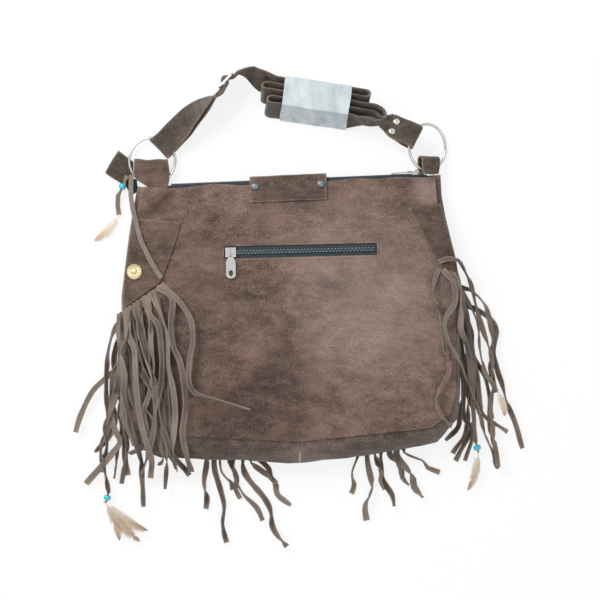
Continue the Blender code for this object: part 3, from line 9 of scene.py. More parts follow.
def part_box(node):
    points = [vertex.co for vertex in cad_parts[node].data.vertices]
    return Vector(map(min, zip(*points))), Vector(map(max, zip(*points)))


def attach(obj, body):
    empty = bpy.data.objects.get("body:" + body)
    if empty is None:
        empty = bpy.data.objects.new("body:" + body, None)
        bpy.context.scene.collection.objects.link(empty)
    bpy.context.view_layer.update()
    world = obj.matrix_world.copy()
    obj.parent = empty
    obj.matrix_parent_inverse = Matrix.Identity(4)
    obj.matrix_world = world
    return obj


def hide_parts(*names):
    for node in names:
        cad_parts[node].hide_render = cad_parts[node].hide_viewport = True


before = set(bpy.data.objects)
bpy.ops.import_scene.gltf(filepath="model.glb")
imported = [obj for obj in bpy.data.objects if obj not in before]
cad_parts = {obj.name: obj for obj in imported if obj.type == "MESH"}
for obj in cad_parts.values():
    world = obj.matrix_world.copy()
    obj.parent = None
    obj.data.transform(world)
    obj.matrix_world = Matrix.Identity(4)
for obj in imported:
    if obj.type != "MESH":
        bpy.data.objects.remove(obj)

bl_info = {
    "name": "Fringed suede bag",
    "version": (1, 0, 0),
    "blender": (4, 5, 0),
    "location": "View3D > Sidebar > Bag",
    "description": "Builds the looks of a fringed suede shoulder bag on its packed frame",
    "category": "Add Mesh",
}

# What the makers share: each finish by name, and the tree of faces that trimmings lie on
LOOKS = {}
GROUND = {}

# The view: the photograph looks straight down, and one of its pixels is 1.18 mm
PICTURE_WIDTH = 0.708
CAMERA_HEIGHT = 2.6
CAMERA_LIFT = 0.02
SENSOR = 36.0
FLOOR_HALF = 6.0
FLOOR_DROP = 0.0005
FLOOR_GLOW = 0.80
ROOM_LIGHT = 0.55
# Each lamp: name, place, width and power
LAMPS = (("window", (-1.0, 1.1, 1.2), 0.9, 27.0), ("fill", (0.7, -1.3, 1.7), 1.6, 9.0))

# The bag's plan, in metres, as the frame has it
BAG_CENTRE = Vector((-0.011, -0.012))
BAG_HALF = Vector((0.194, 0.153))
ZIP_CENTRE = Vector((0.0006, 0.058))
ZIP_TURN = 0.0244
ZIP_HALF_LENGTH = 0.104
ZIP_CLEAR = 0.016
ZIP_BLEND = 0.030
PULL_PLACE = Vector((-0.0818, 0.040))
PULL_CLEAR = (0.016, 0.034)

# The mouth's edge in plan, and how far and how deep its raw edge wavers
MOUTH_MIDDLE = Vector((-0.013, 0.141))
MOUTH_SLOPE = 0.0419
MOUTH_REACH = 0.012
MOUTH_PULL = 0.0016
MOUTH_WAVER = 0.0030

# The relief of the soft faces, the side band and the gathered loop
HOLLOW_DEPTH = 0.0030
RIPPLE_DEPTH = 0.0004
CREASE_DEPTH = 0.0030
FINE_CREASE_DEPTH = 0.0012
DENT_DEPTH = 0.0024
DENT_INWARDS = 0.35
GATHER_DEPTH = 0.0022
GATHER_WAVER = 0.0016
GATHER_FROM = (0.150, 0.162)
# Each fold: its two ends, its width and its depth
FOLDS = (
    ((-0.150, 0.128), (-0.182, 0.096), 0.006, 0.0040),
    ((-0.120, 0.125), (-0.150, 0.070), 0.007, 0.0030),
    ((0.128, 0.135), (0.160, 0.090), 0.007, 0.0030),
    ((0.060, 0.128), (0.125, 0.060), 0.010, 0.0024),
)
# The round mark that a stud inside has pressed into the face
STUD_MARK = Vector((-0.058, 0.071))
STUD_MARK_RADIUS = 0.0075
STUD_MARK_WIDTH = 0.0022
STUD_MARK_HEIGHT = 0.0006

# Longest edges of the soft copies
FACE_EDGE = 0.0042
FACING_EDGE = 0.0030
LOOP_EDGE = 0.0024
STRAP_EDGE = 0.0034
LACE_EDGE = 0.0035
HIDDEN_EDGE = 0.012
TAPE_EDGE = 0.006
LINING_EDGE = 0.010
WELD = 0.00002

# The folded spare strap: its middle, its own directions, and how it leans and lies close
BUNDLE = Vector((0.0189, 0.2325, 0.0164))
BUNDLE_ALONG = Vector((0.98902, -0.14781, 0.0))
BUNDLE_SIDE = Vector((0.14781, 0.98902, 0.0))
BUNDLE_LEAN = 0.52
BUNDLE_SQUEEZE = 0.70
BUNDLE_ENDS = (0.092, 0.066)
BUNDLE_SIDES = (0.050, 0.034)

# Zips: half sizes of a tooth and of the bed, and the pale dashes along each row of teeth, a painted glint
TOOTH_SIZE = Vector((0.00085, 0.00095, 0.00085))
TOOTH_TAPER = 0.72
ROW_STAGGER = 0.25
# The way along each chain and the way up from it, as the CAD has them
CHAIN_AXES = {
    "pocket_zip_chain": (Vector((0.9997, 0.02436, -0.00183)), Vector((0.0, 0.0747, 0.9972))),
    "top_zip_chain": (Vector((0.99912, 0.04187, 0.0)), Vector((-0.04187, 0.99912, 0.0))),
}
COIL_OFFSET = 0.00150
BED_HALF_WIDTH = 0.0024
BED_HALF_DEPTH = 0.0005
# The pale dashes on the teeth, a painted glint: pitch, half length, radius and offset from the middle
GLINT_DASH_PITCH = 0.0040
GLINT_DASH_HALF_LENGTH = 0.0010
GLINT_DASH_RADIUS = 0.00042
GLINT_DASH_OFFSET = 0.00155

# Rings: the middle and axis of each as the CAD has them
RING_LEFT = (Vector((-0.1752, 0.1652, 0.00585)), Vector((0.0, 0.0, 1.0)))
RING_RIGHT = (Vector((0.1505, 0.1805, 0.01765)), Vector((0.57358, 0.0, 0.81915)))
RING_RADIUS = 0.0272
RING_SIDES = 14
RING_STEPS = 96

# Suede strips
STRIP_WIDTH = 0.0070
STRIP_LAYER = 0.0016
STRIP_STEP = 0.005
STRIP_STEEPEST = 1.3
STRIP_CLEAR = 0.0004
STRIP_CUP = 0.16
FLOOR_CLEAR = 0.0003
LAYER_RAMP = 0.030
WIDTH_WANDER = 0.16
ROLL_SLOW = 6.5
ROLL_QUICK = 2.2
EDGE_ROLL = 1.35
TONE_WANDER = 0.65
UNDERSIDE_DARKER = 0.30
LACE_TONE = 0.8
LEFT_SEAM_MM = -179
RIGHT_SEAM_MM = -174
# Where a strip is threaded through its bead, from the bead's middle, and its width at each place
BEAD_PLACES = (-0.0072, -0.0045, 0.0045, 0.0062)
BEAD_WIDTHS = [0.0050, 0.0022, 0.0022, 0.0020]
BEAD_KEEP_OFF = 0.004
# The last two strips of the right upper fringe lie low
RIGHT_LOW_FROM = 7
BEAD_LEFT_WAY = (-0.243, -0.970)
BEAD_RIGHT_WAY = (0.250, -0.968)

# Feathers: barbs side by side on a tapering quill
BARB_PITCH = 0.00052
BARB_WIDTH = 0.00042
QUILL_STEPS = 16
QUILL_HALF_WIDTH = 0.0006
QUILL_HEIGHT = 0.0005

# Stitches
STITCH_GAP = 0.0014
STITCH_RADIUS = 0.00036
STITCH_LIFT = 0.0002
POCKET_SEAM_HALF = (0.0925, 0.0100)
STITCH_ROWS = (
    ("yoke_left_stitches", ((-0.1440, 0.0890), (-0.1462, 0.0779), (-0.1515, 0.0614), (-0.1612, 0.0365),
                            (-0.1665, 0.0235))),
    ("yoke_left_top_stitches", ((-0.1440, 0.0890), (-0.1940, 0.0935))),
    ("yoke_right_stitches", ((0.1310, 0.1070), (0.1460, 0.0790), (0.1590, 0.0531), (0.1620, 0.0360))),
    ("tab_stitches", ((-0.0570, 0.1185), (0.0300, 0.1230))),
)

# Materials: threads to a metre, and how much darker and lighter than its middle tone the nap gets
ZIP_THREADS = 900.0
LINING_THREADS = 600.0
NAP_DARK = 0.32
NAP_LIGHT = 2.0


def linear(code):
    """A #rrggbb colour as linear red, green, blue and alpha."""
    values = [int(code[k:k + 2], 16) / 255 for k in (1, 3, 5)]
    return [v / 12.92 if v <= 0.04045 else ((v + 0.055) / 1.055) ** 2.4 for v in values] + [1.0]


def smoothstep(low, high, value):
    t = min(max((value - low) / (high - low), 0.0), 1.0)
    return t * t * (3 - 2 * t)


def drift(x, y, z):
    """Smooth noise between -1 and 1 at a place."""
    return noise.noise(Vector((x, y, z)))


# Materials

def shade_of(colour, share):
    """A linear colour made darker or lighter by a share."""
    return [min(value * share, 1.0) for value in list(colour)[:3]] + [1.0]


NOISE = "ShaderNodeTexNoise"
MAPPING = "ShaderNodeMapping"
MATH = "ShaderNodeMath"
RANGE = "ShaderNodeMapRange"
RAMP = "ShaderNodeValToRGB"
MIX = "ShaderNodeMix"
ATTRIBUTE = "ShaderNodeAttribute"
# The mix node's sockets for its factor and its two colours, and what makes it mix colours
FACTOR, FIRST, SECOND = 0, 6, 7
COLOURS = {"data_type": "RGBA", "out": 2}


def per_metre(size_mm):
    """The scale of a pattern whose features are size_mm across."""
    return 1000.0 / size_mm


def start_material(name):
    """A new material, its node tree, and the place on the object that its patterns follow."""
    made = bpy.data.materials.new(name)
    made.use_nodes = True
    tree = made.node_tree
    tree.nodes.clear()
    return made, tree, node(tree, "ShaderNodeTexCoord", out="Object")


def node(tree, kind, sockets=None, stops=(), out=0, **settings):
    """Add a node and return its output, by name or number. Each socket, by name or number, is linked to an
    output or set to a constant; settings are the node's own properties, stops a ramp's places and colours."""
    made = tree.nodes.new(kind)
    for key, value in settings.items():
        setattr(made, key, value)
    for key, value in (sockets or {}).items():
        if isinstance(value, bpy.types.NodeSocket):
            tree.links.new(value, made.inputs[key])
        else:
            made.inputs[key].default_value = value
    if stops:
        points = made.color_ramp.elements
        points[0].position, points[0].color = stops[0]
        points[1].position, points[1].color = stops[-1]
        for place, colour in stops[1:-1]:
            points.new(place).color = colour
    return made.outputs[out] if made.outputs else None


def finish_surface(tree, sockets, bump, strength, depth_mm):
    """The surface shader with its sockets, and a fine relief of the given depth."""
    raised = node(tree, "ShaderNodeBump", {"Height": bump, "Strength": strength,
                                           "Distance": depth_mm / 1000.0})
    shader = node(tree, "ShaderNodeBsdfPrincipled", {**sockets, "Normal": raised})
    node(tree, "ShaderNodeOutputMaterial", {"Surface": shader})


def tinted(tree, colour, value, start, end, most, tint):
    """The colour, tinted more and more as a value goes from start to end."""
    share = node(tree, RANGE, {"Value": value, "From Min": start, "From Max": end, "To Max": most})
    return node(tree, MIX, {FACTOR: share, FIRST: colour, SECOND: linear(tint)}, **COLOURS)


def suede(name, middle, tone=False, worn=()):
    """Napped suede: cloudy patches, a fine nap, paler cut edges and ridges, and painted shade in the hollows
    of folds and seams.
    worn is a list of (spot, near, far, strength, colour) where the nap is rubbed paler or darker, or where
    painted shade lies along folds and edges."""
    made, tree, place = start_material(name)
    long_way = node(tree, MAPPING, {"Vector": place, "Scale": (1.0, 1.25, 1.0)})
    cross_way = node(tree, MAPPING, {"Vector": place, "Scale": (0.8, 1.5, 1.0)})
    # Clouds are where hands and folds have turned the nap, patches the hide's own mottling, and blush
    # the warmer dye; nap and fibre are the hairs. Each: coordinates, size in mm, detail and roughness.
    clouds, patches, nap, fibre, blush = [
        node(tree, NOISE, {"Vector": way, "Scale": per_metre(size), "Detail": detail, "Roughness": rough})
        for way, size, detail, rough in (
            (long_way, 67, 5.0, 0.62), (cross_way, 16.7, 6.0, 0.68), (place, 1.6, 4.0, 0.75),
            (place, 0.53, 2.0, 0.7), (place, 38.5, 3.0, 0.5))]
    mottle = node(tree, MATH, {0: clouds, 1: patches}, operation="ADD")
    summed = node(tree, MATH, {0: nap, 1: 1.7, 2: mottle}, operation="MULTIPLY_ADD")
    spread = node(tree, RANGE, {"Value": summed, "From Min": 1.49, "From Max": 2.21})
    colour = node(tree, RAMP, {0: spread}, stops=(
        (0.0, shade_of(middle, NAP_DARK)), (0.5, shade_of(middle, 1.0)), (1.0, shade_of(middle, NAP_LIGHT))))
    # Each spot tints the colour: rubbed paler, darker, or painted shade along folds and edges
    for spot, near, far, strength, code in worn:
        away = node(tree, "ShaderNodeVectorMath", {0: place, 1: spot}, operation="DISTANCE", out="Value")
        rubbed_or_shaded = node(tree, RANGE, {"Value": away, "From Min": near, "From Max": far, "To Min": strength,
                                    "To Max": 0.0}, interpolation_type="SMOOTHSTEP")
        way = "MULTIPLY" if code < "#888888" else "SCREEN"
        colour = node(tree, MIX, {FACTOR: rubbed_or_shaded, FIRST: colour, SECOND: linear(code)}, **COLOURS,
                      blend_type=way)
    colour = tinted(tree, colour, blush, 0.50, 0.72, 0.30, "#96786c")
    # The tone attribute: each strip's own shade of suede, plus painted shade that is lower on strips lying
    # under others
    if tone:
        shade = node(tree, ATTRIBUTE, attribute_name="tone", out="Fac")
        dark = node(tree, MIX, {FACTOR: 0.66, FIRST: colour, SECOND: linear("#26201c")}, **COLOURS)
        light = node(tree, MIX, {FACTOR: 0.50, FIRST: colour, SECOND: linear("#a79c8e")}, **COLOURS)
        colour = node(tree, MIX, {FACTOR: shade, FIRST: dark, SECOND: light}, **COLOURS)
    # Cut edges and ridges are rubbed pale; the hollows of folds and seams are darkened as painted shade
    point = node(tree, "ShaderNodeNewGeometry", out="Pointiness")
    colour = tinted(tree, colour, point, 0.515, 0.60, 0.55, "#a08b7e")
    colour = tinted(tree, colour, point, 0.485, 0.40, 0.60, "#33291f")
    height = node(tree, MATH, {0: nap, 1: fibre}, operation="ADD")
    finish_surface(tree, {"Base Color": colour, "Roughness": 0.95, "Sheen Weight": 0.35,
                          "Sheen Roughness": 0.5, "Specular IOR Level": 0.15}, height, 0.8, 0.8)
    return made


def woven(name, light, threads):
    """A woven tape or cloth: two crossing sets of threads, with painted shade between them and a dusty
    mottle.
    """
    made, tree, place = start_material(name)
    warp, weft = [node(tree, "ShaderNodeTexWave", {"Vector": place, "Scale": threads, "Distortion": 0.4},
                       bands_direction=way, out="Fac") for way in ("X", "Y")]
    # Where the threads cross the colour is light, and the low places between them are painted shade
    cloth = node(tree, MATH, {0: warp, 1: weft}, operation="MULTIPLY")
    dust = node(tree, NOISE, {"Vector": place, "Scale": per_metre(11), "Detail": 4.0, "Roughness": 0.55})
    shade = node(tree, MATH, {0: cloth, 1: dust}, operation="ADD")
    colour = node(tree, RAMP, {0: shade}, stops=((0.35, shade_of(light, 0.28)), (1.0, shade_of(light, 1.0))))
    finish_surface(tree, {"Base Color": colour, "Roughness": 0.8, "Sheen Weight": 0.2}, cloth, 0.5, 0.3)
    return made


def metal(name, base, worn, rough):
    """Plated metal: fine scratches, and smudges that mix in a worn colour and vary the roughness."""
    made, tree, place = start_material(name)
    brushed = node(tree, MAPPING, {"Vector": place, "Scale": (1.0, 6.0, 1.0)})
    smudge = node(tree, NOISE, {"Vector": place, "Scale": per_metre(7), "Detail": 4.0, "Roughness": 0.55})
    scratch = node(tree, NOISE, {"Vector": brushed, "Scale": per_metre(1.4), "Detail": 3.0, "Roughness": 0.6})
    colour = node(tree, MIX, {FACTOR: smudge, FIRST: shade_of(base, 1.0), SECOND: shade_of(worn, 1.0)},
                  **COLOURS)
    dulled = node(tree, RANGE, {"Value": smudge, "To Min": rough * 0.7, "To Max": rough * 1.6})
    finish_surface(tree, {"Base Color": colour, "Metallic": 1.0, "Roughness": dulled}, scratch, 0.12, 0.1)
    return made


def sleeve_film(name):
    """Thin white foam sheet: faint fibres, soft creases with painted shade in their hollows, a little light
    through it.
    """
    made, tree, place = start_material(name)
    pulled = node(tree, MAPPING, {"Vector": place, "Scale": (1.6, 0.7, 1.0)})
    crease = node(tree, NOISE, {"Vector": pulled, "Scale": per_metre(18), "Detail": 5.0, "Roughness": 0.6})
    fibre = node(tree, NOISE, {"Vector": place, "Scale": per_metre(1.4), "Detail": 3.0, "Roughness": 0.55})
    # Colour follows the creases: their hollows are painted shade
    colour = node(tree, RAMP, {0: crease}, stops=(
        (0.32, linear("#b9c3c5")), (0.50, linear("#cfd6d7")), (0.70, linear("#e4e8e8"))))
    height = node(tree, MATH, {0: crease, 1: fibre}, operation="ADD")
    finish_surface(tree, {"Base Color": colour, "Roughness": 0.45, "Subsurface Weight": 0.15,
                          "Coat Weight": 0.15}, height, 0.5, 0.9)
    return made


def glaze(name, colour):
    """Glossy turquoise bead glaze with a swirl of paler and deeper colour."""
    made, tree, place = start_material(name)
    swirl = node(tree, NOISE, {"Vector": place, "Scale": per_metre(3.3), "Detail": 3.0, "Roughness": 0.55})
    shades = node(tree, RAMP, {0: swirl}, stops=(
        (0.35, shade_of(colour, 0.70)), (0.55, shade_of(colour, 1.0)), (0.80, shade_of(colour, 1.35))))
    finish_surface(tree, {"Base Color": shades, "Roughness": 0.18, "Coat Weight": 0.6}, swirl, 0.05, 0.1)
    return made


def plume(name):
    """Feather: cream at the root, greyer brown and darker bars to the tip, by its attributes."""
    made, tree, place = start_material(name)
    along = node(tree, ATTRIBUTE, attribute_name="along", out="Fac")
    tone = node(tree, ATTRIBUTE, attribute_name="tone", out="Fac")
    bars = node(tree, NOISE, {"Vector": place, "Scale": per_metre(6.3), "Detail": 4.0, "Roughness": 0.55})
    pale = node(tree, RAMP, {0: along}, stops=(
        (0.0, linear("#efe9dc")), (0.5, linear("#d8c6a8")), (1.0, linear("#b98a60"))))
    brown = node(tree, RAMP, {0: along}, stops=(
        (0.0, linear("#d9cfc0")), (0.4, linear("#b5a48e")), (0.75, linear("#a5805c")),
        (1.0, linear("#6d5440"))))
    plain = node(tree, MIX, {FACTOR: tone, FIRST: pale, SECOND: brown}, **COLOURS)
    colour = tinted(tree, plain, bars, 0.50, 0.75, 0.40, "#b98f66")
    finish_surface(tree, {"Base Color": colour, "Roughness": 0.7, "Sheen Weight": 0.3}, bars, 0.2, 0.2)
    return made


def thread_material(name, dark, light):
    """Twisted sewing thread, a little lighter on the crown of each turn as a painted highlight."""
    made, tree, place = start_material(name)
    twist = node(tree, NOISE, {"Vector": place, "Scale": per_metre(0.67), "Detail": 2.0, "Roughness": 0.55})
    # Lighter on the raised crowns: a painted highlight
    colour = node(tree, MIX, {FACTOR: twist, FIRST: linear(dark), SECOND: linear(light)}, **COLOURS)
    finish_surface(tree, {"Base Color": colour, "Roughness": 0.75}, twist, 0.4, 0.2)
    return made


# Spots where the faces are rubbed paler, a broad darker patch towards the bottom, painted shade towards the
# left edge and painted shade along the folds: place, near, far, strength and colour
PANEL_WEAR_AND_SHADE = (
    ((0.085, 0.000, 0.033), 0.02, 0.15, 0.190, "#c4b0a6"),
    ((0.030, 0.095, 0.020), 0.00, 0.08, 0.050, "#c0aaa0"),
    ((0.152, 0.128, 0.015), 0.006, 0.030, 0.30, "#c8aca4"),
    # Darker towards the bottom
    ((-0.050, -0.130, 0.036), 0.03, 0.13, 0.34, "#6a5e58"),
    # Painted shade along the folds at the top left and the top right
    ((-0.157, 0.123, 0.014), 0.002, 0.016, 0.75, "#5a4e48"),
    ((-0.168, 0.109, 0.016), 0.002, 0.018, 0.70, "#5a4e48"),
    ((-0.180, 0.098, 0.016), 0.002, 0.014, 0.45, "#5a4e48"),
    ((0.128, 0.132, 0.014), 0.002, 0.018, 0.45, "#5a4e48"),
    # Painted shade towards the left edge
    ((-0.170, 0.020, 0.030), 0.03, 0.12, 0.30, "#6a5e58"),
)


def make_looks(colours):
    LOOKS["panel"] = suede("panel_suede", colours.panel, worn=PANEL_WEAR_AND_SHADE)
    LOOKS["gusset"] = suede("gusset_suede", colours.gusset)
    LOOKS["dark"] = suede("facing_suede", colours.facing)
    LOOKS["strap"] = suede("strap_suede", colours.strap)
    LOOKS["strip"] = suede("strip_suede", colours.strip, tone=True)
    LOOKS["tape"] = woven("zip_tape_weave", colours.tape, ZIP_THREADS)
    LOOKS["lining"] = woven("lining_weave", linear("#4a433d"), LINING_THREADS)
    LOOKS["teeth"] = metal("zip_teeth_dark", linear("#2c363a"), linear("#56636a"), 0.45)
    LOOKS["dark_steel"] = metal("dark_plated_steel", linear("#8c9a9e"), linear("#4d5a5e"), 0.30)
    LOOKS["steel"] = metal("plated_steel_worn", colours.steel, linear("#a9aaa8"), 0.22)
    LOOKS["gold"] = metal("pale_gold_worn", colours.gold, linear("#a89468"), 0.38)
    LOOKS["sleeve"] = sleeve_film("sleeve_foam_film")
    LOOKS["bead"] = glaze("bead_glaze", colours.bead)
    LOOKS["plume"] = plume("feather_plume")
    LOOKS["thread"] = thread_material("dark_thread", "#3c332d", "#8a7a6c")
    # Pale grey for the dashes on the zip teeth, a painted glint
    LOOKS["zip_painted_glint"] = thread_material("zip_painted_glint", "#8d9b9f", "#c3ced1")


# Building helpers

def add_piece(name, builder, look, body="bag", replaces=(), sharp=55.0, smooth=True):
    """Turn a bmesh into a piece that rides on its body and stands for its CAD nodes."""
    bmesh.ops.recalc_face_normals(builder, faces=builder.faces)
    for face in builder.faces:
        face.smooth = smooth
    limit = math.radians(sharp)
    for edge in builder.edges:
        if len(edge.link_faces) == 2 and edge.calc_face_angle(0.0) > limit:
            edge.smooth = False
    mesh = bpy.data.meshes.new(name)
    builder.to_mesh(mesh)
    builder.free()
    mesh.materials.append(LOOKS[look])
    made = bpy.data.objects.new(name, mesh)
    bpy.context.scene.collection.objects.link(made)
    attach(made, body)
    if replaces:
        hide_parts(*replaces)
    return made


def drape(x, y):
    """How far the soft face stands off its even shape: broad hollows, and wrinkles at the left."""
    across = abs(x - BAG_CENTRE.x) / BAG_HALF.x
    down = abs(y - BAG_CENTRE.y) / BAG_HALF.y
    inside = max(0.0, 1 - across ** 5) * max(0.0, 1 - down ** 6)
    if inside <= 0.0:
        return 0.0
    off_line = abs(y - ZIP_CENTRE.y - ZIP_TURN * (x - ZIP_CENTRE.x))
    off_end = max(abs(x - ZIP_CENTRE.x) - ZIP_HALF_LENGTH, 0.0)
    pull_near = Vector((x - PULL_PLACE.x, (y - PULL_PLACE.y) * 0.6)).length
    clear = smoothstep(ZIP_CLEAR, ZIP_CLEAR + ZIP_BLEND, math.hypot(off_line, off_end))
    clear *= smoothstep(*PULL_CLEAR, pull_near)
    left = smoothstep(0.02, -0.09, x) * smoothstep(-0.075, -0.035, y) * smoothstep(0.13, 0.07, y)
    bend = y + 0.016 * drift(x * 9, y * 4, 2.0)
    creases = abs(drift(x * 7.0, bend * 62.0, 5.0))
    fine = abs(drift(x * 16.0, bend * 150.0, 8.0))
    hollows = drift(x * 9.0, y * 8.0, 1.0) + 0.5 * drift(x * 24.0, y * 20.0, 4.0)
    ripple = drift(x * 40.0, y * 46.0, 6.0)
    lift = HOLLOW_DEPTH * hollows + RIPPLE_DEPTH * ripple
    lift -= left * (CREASE_DEPTH * creases + FINE_CREASE_DEPTH * fine)
    for one, two, width, depth in FOLDS:
        lift -= depth * fold_line(x, y, one, two, width)
    mark = abs(Vector((x - STUD_MARK.x, y - STUD_MARK.y)).length - STUD_MARK_RADIUS)
    lift += STUD_MARK_HEIGHT * smoothstep(STUD_MARK_WIDTH, 0.0, mark)
    return inside * clear * lift


def fold_line(x, y, one, two, width):
    """1 on the line between two places, falling to 0 at width beside it."""
    a, b, p = Vector(one), Vector(two), Vector((x, y))
    along = b - a
    share = min(max((p - a).dot(along) / along.length_squared, 0.0), 1.0)
    off = (p - (a + along * share)).length
    return smoothstep(width, 0.0, off) * math.sin(math.pi * min(max(share, 0.06), 0.94))


def refine(builder, edge):
    for _ in range(8):
        long_edges = [item for item in builder.edges if item.calc_length() > edge]
        if not long_edges:
            return
        bmesh.ops.subdivide_edges(builder, edges=long_edges, cuts=1, use_grid_fill=True)
        bmesh.ops.triangulate(builder, faces=[face for face in builder.faces if len(face.verts) > 4])


def soft_copy(source, look, edge, push, body="bag"):
    """A finer copy of a soft CAD solid, with push(place, normal) moving its points."""
    builder = bmesh.new()
    builder.from_mesh(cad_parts[source].data)
    bmesh.ops.remove_doubles(builder, verts=builder.verts, dist=WELD)
    refine(builder, edge)
    builder.normal_update()
    moved = [vert.co + push(vert.co, vert.normal) for vert in builder.verts]
    for vert, place in zip(builder.verts, moved):
        vert.co = place
    return add_piece(source + "_soft", builder, look, body, (source,))


def on_face(place, normal):
    """The face's own folds, and the wavering raw edge along the mouth."""
    mouth = MOUTH_MIDDLE.y + MOUTH_SLOPE * (place.x - MOUTH_MIDDLE.x)
    near = smoothstep(MOUTH_REACH, 0.0, mouth - place.y)
    waver = near * (MOUTH_PULL + MOUTH_WAVER * drift(place.x * 24.0, 3.0, 0.0))
    return Vector((0.0, -max(waver, 0.0), drape(place.x, place.y)))


def leaning(place, normal):
    """The folded strap and its sleeve lean over and lie closer than they would on edge."""
    off = place - BUNDLE
    along, side = off.dot(BUNDLE_ALONG), off.dot(BUNDLE_SIDE)
    held = smoothstep(*BUNDLE_ENDS, abs(along)) * smoothstep(*BUNDLE_SIDES, abs(side))
    shift = side * (BUNDLE_SQUEEZE - 1.0) + off.z * BUNDLE_LEAN
    soft = slack(0.0011, 42.0, 21.0)(place, normal)
    return BUNDLE_SIDE * shift * held + soft


def gathered(place, normal):
    """Deep soft folds across a gathered loop."""
    fold = drift(place.x * 120.0, place.y * 25.0, place.z * 25.0)
    edge = drift(place.x * 75.0, 9.0, 0.0)
    return Vector((0.0, GATHER_WAVER * edge * smoothstep(*GATHER_FROM, place.y), GATHER_DEPTH * fold))


def still(place, normal):
    return Vector((0.0, 0.0, 0.0))


def slack(size, scale, seed):
    """A push that moves both faces of a sheet the same way, by gentle noise."""
    def push(place, normal):
        spot = place * scale
        return Vector([size * noise.noise(spot + Vector((seed + k * 17.0, 0.0, 0.0))) for k in range(3)])
    return push


def gusset_push(place, normal):
    """Soft dents in the side band, none at its seams."""
    fade = smoothstep(0.004, 0.014, place.z) * smoothstep(0.036, 0.026, place.z)
    dent = drift(place.x * 20, place.y * 20, 3.0) + 0.6 * noise.noise(place * 65)
    away = Vector((place.x - BAG_CENTRE.x, place.y - BAG_CENTRE.y, 0.0)).normalized()
    return away * (dent - DENT_INWARDS) * DENT_DEPTH * fade


def tree_of(objects):
    builder = bmesh.new()
    for item in objects:
        builder.from_mesh(item.data)
    tree = BVHTree.FromBMesh(builder)
    builder.free()
    return tree


def ground(x, y):
    """The height of whatever lies at a place in plan: the bag's face, its side or the floor."""
    hit = GROUND["bag"].ray_cast(Vector((x, y, 0.3)), Vector((0.0, 0.0, -1.0)))[0]
    return hit.z if hit else 0.0


# The bag

def make_panels():
    shown = [soft_copy("front_panel", "panel", FACE_EDGE, on_face),
             soft_copy("gusset_left", "gusset", FACE_EDGE, gusset_push),
             soft_copy("gusset_right", "gusset", FACE_EDGE, gusset_push)]
    soft_copy("back_panel", "panel", HIDDEN_EDGE, still)
    shown.append(soft_copy("yoke_left", "dark", FACING_EDGE, on_face))
    shown.append(soft_copy("yoke_right", "dark", FACING_EDGE, on_face))
    shown.append(soft_copy("closure_tab", "dark", FACING_EDGE, slack(0.0007, 45.0, 3.0)))
    GROUND["bag"] = tree_of(shown)
    soft_copy("pocket_lining", "lining", LINING_EDGE, still)


def make_loops():
    soft_copy("loop_left", "dark", LOOP_EDGE, gathered)
    soft_copy("loop_right", "dark", LOOP_EDGE, slack(0.0005, 80.0, 13.0))
    soft_copy("loop_tail", "strap", LOOP_EDGE, slack(0.0010, 40.0, 15.0))


def make_strap():
    soft_copy("strap", "strap", STRAP_EDGE, leaning)
    soft_copy("strap_wrap", "sleeve", FACING_EDGE, leaning)


# Zips

def make_tapes():
    for name in ("pocket_zip_tape_lower", "pocket_zip_tape_upper", "top_zip_tape_front",
                 "top_zip_tape_back", "top_zip_tape_end"):
        soft_copy(name, "tape", TAPE_EDGE, still)


def chain_frame(source):
    """The middle of a chain, its length along it, and its own axes."""
    low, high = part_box(source)
    along, up = CHAIN_AXES[source]
    return (low + high) / 2, (high.x - low.x) / along.x, along, up


def rows_along(count, pitch):
    """Which of the two rows, and how far along from the middle, for each of two staggered rows."""
    for k in range(count):
        for row in (-1, 1):
            yield row, (k - (count - 1) / 2 + ROW_STAGGER * row) * pitch


def box_at(builder, middle, axes, size, taper=1.0):
    """A block of half sizes along its own axes, its top narrowed by taper."""
    for vert in bmesh.ops.create_cube(builder, size=2.0)["verts"]:
        local = vert.co.copy()
        share = taper if local.z > 0 else 1.0
        vert.co = (middle + axes[0] * local.x * size[0] * share + axes[1] * local.y * size[1] * share
                   + axes[2] * local.z * size[2])


def make_chain(source, name, pitch):
    """Two meshing rows of teeth on a corded bed, and pale dashes along the top of each row as a painted
    glint.
    """
    centre, length, along, up = chain_frame(source)
    side = up.cross(along)
    axes = (along, side, up)
    builder = bmesh.new()
    for row, shift in rows_along(int(length / pitch), pitch):
        box_at(builder, centre + along * shift + side * row * COIL_OFFSET, axes, TOOTH_SIZE, TOOTH_TAPER)
    box_at(builder, centre - up * BED_HALF_DEPTH, axes, (length / 2, BED_HALF_WIDTH, BED_HALF_DEPTH))
    add_piece(name + "_teeth", builder, "teeth", "bag", (source,), sharp=30.0)
    # Pale dashes along the top of each row of teeth: a painted glint
    builder = bmesh.new()
    for row, shift in rows_along(int(length / GLINT_DASH_PITCH), GLINT_DASH_PITCH):
        middle = centre + along * shift + side * row * GLINT_DASH_OFFSET + up * TOOTH_SIZE.z
        add_stitch_or_glint_dash(builder, middle, axes, GLINT_DASH_HALF_LENGTH, GLINT_DASH_RADIUS)
    add_piece(name + "_glint_dashes", builder, "zip_painted_glint", "bag")


def add_stitch_or_glint_dash(builder, middle, axes, half_length, radius):
    """One stitch, or one painted glint dash on zip teeth: a low rounded body of few faces, long along its
    first axis.
    """
    turn = Matrix((axes[0] * half_length, axes[1] * radius, axes[2] * radius)).transposed().to_4x4()
    bmesh.ops.create_icosphere(builder, subdivisions=1, radius=1.0, matrix=Matrix.Translation(middle) @ turn)


